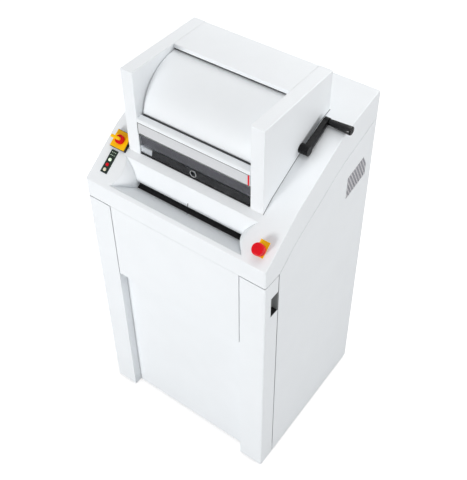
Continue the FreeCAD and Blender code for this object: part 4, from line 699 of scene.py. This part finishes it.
def painted_shade_cover_brush():
    """Dark brush behind the cover's lip, down to just above the drum's crown: painted shade for the shadow
    line in the gap under the lip.
    """
    crown = high("drum_shell")
    front = COVER_LIP_Y + 0.0022
    thickness = 0.0030
    end_gap = 0.0004
    foot = 0.0009
    head = 0.0120
    add_bars("painted_shade_cover_brush", "cabinet", "caster_rubber", GAP_SHADE_AND_DARK_SEAL, (
        (end_gap - high("tower_cover").x, front, crown.z + foot),
        (crown.x, front + thickness, crown.z + head)))


def painted_shade_drum_brush():
    """Dark brush behind the front rail, in front of the drum: painted shade for the shadow line in the gap
    between drum and rail.
    """
    rail = high("tower_front_rail")
    half = high("tower_cover").x - 0.0070
    gap = 0.0002
    thickness = 0.0060
    depth = 0.0060
    proud = 0.0012
    add_bars("painted_shade_drum_brush", "cabinet", "caster_rubber", GAP_SHADE_AND_DARK_SEAL, (
        (-half, rail.y + gap, rail.z - depth), (half, rail.y + gap + thickness, rail.z + proud)))


def painted_shade_strip_seam():
    """Dark strip above the label strip and down its left end: painted shade for the shadow lines where the
    strip is set back.
    """
    half = high("tower_cover").x
    face = low("tower_front_rail").y
    front = face - 0.0007
    back = face + 0.0004
    foot = low("label_strip").z
    head = high("label_strip").z
    overlap = 0.0003
    width = 0.0011
    edge = 0.0003
    add_bars("painted_shade_strip_seam", "cabinet", "caster_rubber", GAP_SHADE_AND_DARK_SEAL,
             ((-half, front, head - overlap), (half, back, head + width), edge),
             ((-half, front, foot), (-half + width, back, head), edge))


def swept(bm, points, side, width, height, lift):
    """A strip with one soft corner along a path in the YZ plane, from x = side outward by width."""
    soft_across = 0.7
    soft_up = 0.6
    sections = []
    for index, place in enumerate(points):
        before = points[max(index - 1, 0)]
        after = points[min(index + 1, len(points) - 1)]
        along = (after - before).normalized()
        up = Vector((0, -along.z, along.y))
        base = Vector((0, place.y, place.z)) + up * lift
        corners = ((side, 0), (side + width, 0), (side + width, height * soft_up),
                   (side + width * soft_across, height), (side, height))
        sections.append([base + ACROSS * x + up * rise for x, rise in corners])
    lofted(bm, sections)


def painted_shade_cheek_gaskets():
    """Thin dark strips where the cheeks stand on the sloping top: painted shade for the shadow line of the
    joint.
    """
    front = low("tower_right_cheek").y
    back = high("tower_right_cheek").y
    outer = high("tower_right_cheek").x
    overhang = 0.0002
    width = 0.0009
    height = 0.0013
    lift = 0.0001
    route = [Vector((0, y, top_z(y))) for y in (front - overhang, BEND.y, KNEE.y, back + overhang)]
    for name, side in SIDES:
        bm = bmesh.new()
        swept(bm, route, side * outer, side * width, height, lift)
        add_piece("painted_shade_cheek_gasket_" + name, bm, "cabinet", GAP_SHADE_AND_DARK_SEAL)


def drum_rims():
    """Flanges that close the drum's ends up to the cheeks."""
    ends_low = low("drum_ends")
    ends_high = high("drum_ends")
    centre = middle("drum_ends")
    clearance = 0.0002
    radius = (ends_high.z - ends_low.z) / 2 - clearance
    bore = radius - 0.0050
    width = 0.0060
    near_edge = (0.0006, 0.0007)
    far_edge = 0.0010
    start = high("drum_shell").x + 0.0004
    steps = 160
    profile = [(bore, 0), (radius - near_edge[0], 0), (radius, near_edge[1]), (radius, width - far_edge),
               (radius - far_edge, width), (bore, width)]
    for name, side in SIDES:
        bm = bmesh.new()
        turned(bm, profile, aim((side * start, centre.y, centre.z), (side, 0, 0)), steps, closed=True)
        add_piece("drum_bead_" + name, bm, "feed_drum", MATERIALS["drum_paint"])


def painted_gap_post_seals():
    """Strips set back in the gaps between the upper panel and the door posts: the dark left one is painted
    shade of its gap, the pale right one painted light in its gap.
    """
    panel_low = low("upper_front_panel")
    near = high("upper_front_panel").x + 0.0002
    far = high("door_panel").x - 0.0242
    front = panel_low.y + 0.0030
    back = panel_low.y + 0.0060
    foot = panel_low.z + 0.002
    head = 0.9950
    edge = 0.0003
    for (name, side), seal in zip(SIDES, (GAP_SHADE_AND_DARK_SEAL, FROSTED_AND_GAP_LIGHT)):
        left, right = sorted((side * near, side * far))
        add_bars("painted_gap_post_seal_" + name, "cabinet", "caster_rubber", seal,
                 ((left, front, foot), (right, back, head), edge))


# Viewing window. The front of the flap's box is its barrel, 2.5 mm in front of its 4 mm plate.

SHADE_BAND_DEPTH = 0.0042
SHADE_BAND_LEFT = -0.1630
FINGER_HOLE_HEIGHT = 0.021
FINGER_RING_RADIUS = 0.0112


def painted_shade_window_band():
    """Dark band within the clear plate's thickness, cut out round its finger hole: painted shade for the dark
    inside seen through the lower part of the window.
    """
    flap_low = low("viewing_flap")
    left = SHADE_BAND_LEFT
    right = high("viewing_flap").x - 0.0005
    foot = 0.0008
    head = 0.0335
    flare = 0.004
    thickness = 0.0008
    steps = 40
    y = flap_low.y + SHADE_BAND_DEPTH
    outline = [(left - flare, foot), (right, foot), (right, head), (left, head)]
    hole = arc((0, FINGER_HOLE_HEIGHT), FINGER_RING_RADIUS, 0, 360, steps)[:-1]
    bm = bmesh.new()
    flat_sheet(bm, [[(x, y, flap_low.z + height) for x, height in loop] for loop in (outline, hole)],
               (0, thickness, 0))
    add_piece("painted_shade_window_band", bm, "window", PAINTED_SHADE_BAND_BLACK)


def finger_ring():
    """Frosted ring round the finger hole, level with the front of the barrel."""
    flap_low = low("viewing_flap")
    place = aim((0, flap_low.y, flap_low.z + FINGER_HOLE_HEIGHT), FORWARD)
    tube = 0.0009
    bm = bmesh.new()
    ring(bm, place, FINGER_RING_RADIUS, tube, steps=40, sides=12)
    add_piece("finger_ring", bm, "window", FROSTED_AND_GAP_LIGHT)


def window_feet():
    """Dark sill along the flap's lower edge, with a foot at each end."""
    flap_low = low("viewing_flap")
    sill_half = high("viewing_flap").x - 0.001
    sill_front = flap_low.y - 0.0004
    sill_back = flap_low.y + SHADE_BAND_DEPTH
    sill_bottom = flap_low.z + 0.0001
    sill_top = flap_low.z + 0.0014
    foot_x = high("viewing_flap").x - 0.006
    foot_half = 0.0035
    foot_front = flap_low.y - 0.0016
    foot_back = flap_low.y + 0.0004
    foot_bottom = flap_low.z + 0.0002
    foot_top = flap_low.z + 0.0050
    foot_edge = 0.0006
    feet = [((x - foot_half, foot_front, foot_bottom), (x + foot_half, foot_back, foot_top), foot_edge)
            for x in (-foot_x, foot_x)]
    add_bars("window_feet", "window", "caster_rubber", GAP_SHADE_AND_DARK_SEAL,
             ((-sill_half, sill_front, sill_bottom), (sill_half, sill_back, sill_top)), *feet)


def window_catch():
    """White block that the flap's lower left corner rests on."""
    flap_low = low("viewing_flap")
    left = -0.2105
    right = SHADE_BAND_LEFT - 0.0005
    front = flap_low.y + 0.0052
    back = flap_low.y + 0.0140
    foot = flap_low.z + 0.0045
    head = flap_low.z + 0.0285
    edge = 0.0025
    add_bars("window_catch", "cabinet", "white_paint", WHITE_PAINT,
             ((left, front, foot), (right, back, head), edge))


def painted_shade_dust_curtain():
    """Grey sheet behind the upper part of the window: painted shade for the shaded drum seen through it."""
    half = 0.2108
    front = -0.1765
    back = -0.1750
    foot = low("viewing_flap").z + 0.0300
    head = high("viewing_flap").z + 0.0010
    add_bars("painted_shade_dust_curtain", "cabinet", "caster_rubber", PAINTED_SHADE_GREY,
             ((-half, front, foot), (half, back, head)))


def strip_mark():
    """Red end mark on the label strip."""
    strip_low = low("label_strip")
    strip_high = high("label_strip")
    right = strip_high.x - 0.0032
    width = 0.0060
    margin = 0.0004
    proud = 0.0005
    sunk = 0.0002
    edge = 0.0002
    add_bars("strip_mark", "cabinet", "red_plastic", MATERIALS["red_plastic"], (
        (right - width, strip_low.y - proud, strip_low.z + margin),
        (right, strip_low.y + sunk, strip_high.z - margin), edge))


# Vents and rear

VENT_FRONT = 0.10
VENT_FOOT = 0.98
VENT_HEAD = 1.17


def vent_filter():
    """Dust filter just inside the vent slots."""
    inside = high("right_side_panel").x - 0.0022
    thickness = 0.0035
    front = 0.138
    back = 0.269
    foot = 1.008
    head = 1.142
    edge = 0.0008
    add_bars("vent_filter", "cabinet", "bin_grey", FILTER_GREY,
             ((inside - thickness, front, foot), (inside, back, head), edge))


def face_loops(mesh, plane):
    """Closed loops of (y, z) points where a mesh's flat face at x = plane ends."""
    facing = 0.99
    nearness = 0.0001
    bm = bmesh.new()
    bm.from_mesh(mesh)
    neighbours = {}
    for edge in bm.edges:
        flat = [face for face in edge.link_faces if face.normal.x > facing]
        if len(flat) == 1 and all(abs(vert.co.x - plane) < nearness for vert in edge.verts):
            one, other = edge.verts
            neighbours.setdefault(one.index, []).append(other.index)
            neighbours.setdefault(other.index, []).append(one.index)
    bm.verts.ensure_lookup_table()
    loops = []
    left = set(neighbours)
    while left:
        loop = []
        after = [min(left)]
        while after:
            loop.append(after[0])
            left.discard(after[0])
            after = [index for index in neighbours[loop[-1]] if index in left]
        loops.append([(bm.verts[index].co.y, bm.verts[index].co.z) for index in loop])
    bm.free()
    return loops


def painted_shade_vent_insert():
    """Grey screen over the vent, with a hole for each of the panel's slots: painted shade for the shaded
    louvre blades between the slots.
    """
    panel = high("right_side_panel").x
    margin = 0.0008
    sunk = 0.0002
    thickness = 0.0006
    slots = [loop for loop in face_loops(frame["nodes"]["right_side_panel"].data, panel)
             if all(y > VENT_FRONT and VENT_FOOT < z < VENT_HEAD for y, z in loop)]
    points = [Vector(point) for loop in slots for point in loop]
    centre = sum(points, Vector((0, 0))) / len(points)
    hull = [points[i] for i in geometry.convex_hull_2d(points)]
    outline = [point + (point - centre).normalized() * margin for point in hull]
    bm = bmesh.new()
    flat_sheet(bm, [[(panel - sunk, y, z) for y, z in loop] for loop in [outline] + slots], (thickness, 0, 0))
    add_piece("painted_shade_vent_insert", bm, "cabinet", PAINTED_SHADE_VENT_GREY)


# Outline of a pan-head screw with its socket, in parts of the head's radius

SCREW_DOME = ((0, 0), (1, 0), (1, 0.25), (0.86, 0.5), (0.6, 0.62), (0.5, 0.64), (0.46, 0.2), (0, 0.2))


def rear_screws():
    """Pan-head screws of the rear panel and of the tower cover's back."""
    rows = (0.060, 0.350, 0.640, 0.930, 1.205)
    cover_rows = (1.345, 1.395, 1.445)
    panel_y = high("rear_panel").y
    cover_y = high("tower_cover").y
    panel_radius = 0.0034
    cover_radius = 0.0028
    steps = 18
    bm = bmesh.new()
    for half, y, heights, radius in ((0.318, panel_y, rows, panel_radius),
                                     (0.106, panel_y, (rows[0], rows[-1]), panel_radius),
                                     (0.190, cover_y, cover_rows, cover_radius)):
        dome = [(radius * out, radius * up) for out, up in SCREW_DOME]
        for x in (-half, half):
            for z in heights:
                turned(bm, dome, aim((x, y, z), BACKWARD), steps)
    add_piece("rear_screws", bm, "cabinet", MATERIALS["plated_steel"])


def gland_collar():
    """Cap of the cable gland."""
    centre = middle("cable_gland")
    length = 0.0052
    place = (centre.x, high("cable_gland").y - length, centre.z)
    bm = bmesh.new()
    collar(bm, aim(place, BACKWARD), steps=36, bore=0.0066, radius=0.0124, foot=0.0, foot_round=0.0012,
           shoulder=0.0038, top_round=0.0022, top_turn=80, top=0.0060)
    add_piece("gland_collar", bm, "cabinet", MATERIALS["black_plastic"])


# Controls

BUTTONS = {"button_reverse": "reverse_key", "button_stop": "stop_key", "button_start": "start_key"}


def button_details():
    """A shallow dome on each button, and a bezel round it."""
    slots = {part["node"]: part["material_slot"] for part in frame["record"]["subparts"]}
    dome_lift = 0.0040
    dome_margin = 0.0002
    dome_edge = 0.0008
    bezel_lift = 0.0017
    bezel_gap = 0.0010
    bezel_tube = 0.0007
    bezels = bmesh.new()
    for node, body in BUTTONS.items():
        foot = dropped(middle(node))
        radius = (high(node).x - low(node).x) / 2
        bezel_place = aim(foot + SLOPE_NORMAL * bezel_lift, SLOPE_NORMAL)
        ring(bezels, bezel_place, radius + bezel_gap, bezel_tube, steps=32, sides=8)
        dome = arc((radius - dome_margin - dome_edge, 0), dome_edge, 0, 60, 3)
        dome += [(radius * 0.55, 0.0011), (0, 0.0013)]
        bm = bmesh.new()
        turned(bm, dome, aim(foot + SLOPE_NORMAL * dome_lift, SLOPE_NORMAL), steps=28)
        add_piece(node + "_dome", bm, body, MATERIALS[slots[node]])
    add_piece("button_bezels", bezels, "cabinet", KEYPAD_FILM)


def status_lamps():
    """Two rows of three small lamps at the keypad's upper end."""
    centre_x = middle("keypad_panel").x
    top_y = high("keypad_panel").y
    column_step = 0.0065
    rows = (0.0060, 0.0140)
    lift = 0.0015
    profile = [(0.0013, 0.0), (0.0012, 0.0004), (0.0007, 0.0007), (0, 0.0008)]
    steps = 12
    bm = bmesh.new()
    for column in (-1, 0, 1):
        for row in rows:
            place = on_slope(centre_x + column * column_step, top_y - row, lift)
            turned(bm, profile, aim(place, SLOPE_NORMAL), steps)
    add_piece("status_lamps", bm, "cabinet", MATERIALS["lit_button"])


def crank_grip():
    """Flared grip with shallow flutes that run along it, round the crank bolt."""
    start = low("crank_grip").x
    length = high("crank_grip").x - start
    centre = middle("crank_grip")
    bore_share = 0.62
    bore = (high("crank_bolt").y - low("crank_bolt").y) / 2 * bore_share
    outline = [(0.0, bore), (0.0, 0.0088), (0.0015, 0.0100), (0.010, 0.0106), (0.030, 0.0117),
               (0.055, 0.0132), (length - 0.0045, 0.0144), (length - 0.0020, 0.0140),
               (length - 0.0005, 0.0126), (length, 0.0106), (length, bore)]
    sides = 96
    flutes = 6
    flute_depth = 0.0013
    flute_margin = 0.006
    flute_roundness = 0.5
    sections = []
    for reach, radius in outline:
        carved = flute_depth if flute_margin < reach < length - flute_margin else 0
        section = []
        for i in range(sides):
            angle = 2 * math.pi * i / sides
            wave = abs(math.cos(angle * flutes / 2)) ** flute_roundness
            size = radius - carved * (1 - wave)
            section.append((start + reach, centre.y + size * math.cos(angle),
                            centre.z + size * math.sin(angle)))
        sections.append(section)
    bm = bmesh.new()
    lofted(bm, sections, ends="joined")
    piece = add_piece("fluted_crank_grip", bm, "crank_handle", GRIP_BLACK, smooth_angle=40)
    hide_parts("crank_grip")


def squarish(value):
    """A sine or cosine filled out, so that a circle made with it becomes a rounded square."""
    fullness = 0.6
    return math.copysign(abs(value) ** fullness, value)


def switch_lever():
    """Rounded lever of the mains switch, from its boss out over the plate."""
    centre = middle("switch_lever")
    axis_x = middle("switch_knob").x
    sunk = 0.0048
    foot = Vector((axis_x, centre.y, centre.z)) - SLOPE_NORMAL * sunk
    reach = axis_x - low("switch_lever").x - 0.004
    sides = 24
    turn = axes(foot, -ACROSS, SLOPE_NORMAL.cross(ACROSS), SLOPE_NORMAL)
    stations = ((-0.0060, 0.0030, 0.0060), (-0.0045, 0.0048, 0.0078), (0.0, 0.0054, 0.0092),
                (reach * 0.5, 0.0050, 0.0094), (reach - 0.0070, 0.0056, 0.0098),
                (reach - 0.0022, 0.0050, 0.0092), (reach, 0.0030, 0.0068))
    sections = []
    for station, half_width, height in stations:
        section = []
        for i in range(sides):
            angle = 2 * math.pi * i / sides
            rise = height / 2 * (1 + squarish(math.sin(angle)))
            section.append(turn @ Vector((station, half_width * squarish(math.cos(angle)), rise)))
        sections.append(section)
    bm = bmesh.new()
    lofted(bm, sections)
    piece = add_piece("rounded_switch_lever", bm, "mains_switch",
                      MATERIALS["yellow_plastic"], smooth_angle=50)
    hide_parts("switch_lever")


def stop_collar():
    """Red collar under the emergency stop's head."""
    bm = bmesh.new()
    collar(bm, aim(dropped(middle("stop_mushroom")), SLOPE_NORMAL), steps=48, bore=0.0090, radius=0.0186,
           foot=0.0062, foot_round=0.0015, shoulder=0.0140, top_round=0.0022, top_turn=70, top=0.0165)
    add_piece("stop_collar", bm, "stop_head", MATERIALS["red_plastic"])


def painted_shade_grip_pad():
    """Dark pad on the floor of the door's grip cup: painted shade for the shadow deep in the cup."""
    cup_low = low("door_grip_cup")
    cup_high = high("door_grip_cup")
    left_margin = 0.0024
    right_margin = 0.0004
    depth_margin = 0.0022
    foot = 0.0021
    head = 0.0034
    add_bars("painted_shade_grip_pad", "door", "caster_rubber", PAINTED_SHADE_BLACK, (
        (cup_low.x + left_margin, cup_low.y + depth_margin, cup_low.z + foot),
        (cup_high.x - right_margin, cup_high.y - depth_margin, cup_low.z + head)))


# Stage and light

FLOOR_HALF = 30
FLOOR_GLOW = 0.7
ROOM_TINT = (1.0, 0.975, 0.965, 1)
ROOM_LIGHT = 0.45
LIGHT_TARGET = Vector((0, 0, 0.8))
LIGHTS = (
    ("front", (-0.9, -4.6, 1.1), 1.2, 118),
    ("back", (0.2, 2.4, 4.2), 2.4, 52),
    ("top", (0.2, 0.2, 4.6), 2.2, 22),
    ("right", (4.6, -0.3, 1.7), 1.0, 46),
    ("right_back", (4.2, 1.6, 2.8), 1.6, 35),
)


def make_stage():
    """Pale floor that the camera sees a little brighter than it lights the part."""
    corners = [(-FLOOR_HALF, -FLOOR_HALF, 0), (FLOOR_HALF, -FLOOR_HALF, 0), (FLOOR_HALF, FLOOR_HALF, 0),
               (-FLOOR_HALF, FLOOR_HALF, 0)]
    mesh = bpy.data.meshes.new("floor")
    mesh.from_pydata(corners, [], [(0, 1, 2, 3)])
    floor = bpy.data.objects.new("floor", mesh)
    bpy.context.scene.collection.objects.link(floor)
    finish = Finish("floor", Roughness=0.9, Specular_IOR_Level=0.0, Emission_Color=(1, 1, 1, 1))
    finish.paint(finish.noise(3, detail=3), "c6c7c8", "cacbcc")
    seen = finish.node("ShaderNodeLightPath").outputs["Is Camera Ray"]
    glow = finish.node("ShaderNodeMath", {0: seen, 1: FLOOR_GLOW}, operation="MULTIPLY").outputs["Value"]
    finish.tree.links.new(glow, finish.shader.inputs["Emission Strength"])
    mesh.materials.append(finish.material)


def make_world():
    """Even room light; what the camera, reflections and clear pieces see of it is plain white."""
    world = bpy.data.worlds.new("room")
    bpy.context.scene.world = world
    world.use_nodes = True
    tree = world.node_tree
    background = tree.nodes["Background"]
    path = tree.nodes.new("ShaderNodeLightPath")
    seen = path.outputs["Is Camera Ray"]
    for ray in ("Is Glossy Ray", "Is Transmission Ray"):
        either = tree.nodes.new("ShaderNodeMath")
        either.operation = "MAXIMUM"
        tree.links.new(seen, either.inputs[0])
        tree.links.new(path.outputs[ray], either.inputs[1])
        seen = either.outputs["Value"]
    strength = tree.nodes.new("ShaderNodeMapRange")
    strength.inputs["To Min"].default_value = ROOM_LIGHT
    strength.inputs["To Max"].default_value = 1.0
    tint = tree.nodes.new("ShaderNodeMix")
    tint.data_type = "RGBA"
    tint.inputs["A"].default_value = ROOM_TINT
    tint.inputs["B"].default_value = (1, 1, 1, 1)
    tree.links.new(seen, strength.inputs["Value"])
    tree.links.new(seen, tint.inputs["Factor"])
    tree.links.new(tint.outputs["Result"], background.inputs["Color"])
    tree.links.new(strength.outputs["Result"], background.inputs["Strength"])


def make_lights():
    """Round soft lights, all aimed at the part: a name, a place, a diameter and a power in watts for each."""
    for name, place, diameter, power in LIGHTS:
        data = bpy.data.lights.new(name, "AREA")
        data.shape = "DISK"
        data.size = diameter
        data.energy = power
        light = bpy.data.objects.new(name, data)
        light.location = place
        light.rotation_euler = (LIGHT_TARGET - Vector(place)).to_track_quat("-Z", "Y").to_euler()
        bpy.context.scene.collection.objects.link(light)


bpy.context.scene.view_settings.view_transform = "Standard"
make_camera()
give_materials()
feed_tray()
chute_below_tray()
painted_shade_slot_lips()
centre_marks()
tower_cover()
corner_welds()
upper_panel_head()
painted_shade_cover_brush()
painted_shade_drum_brush()
painted_shade_strip_seam()
painted_shade_cheek_gaskets()
drum_rims()
painted_shade_window_band()
finger_ring()
window_feet()
window_catch()
painted_shade_dust_curtain()
strip_mark()
vent_filter()
painted_shade_vent_insert()
rear_screws()
gland_collar()
button_details()
status_lamps()
crank_grip()
switch_lever()
stop_collar()
painted_gap_post_seals()
painted_shade_grip_pad()
make_stage()
make_world()
make_lights()
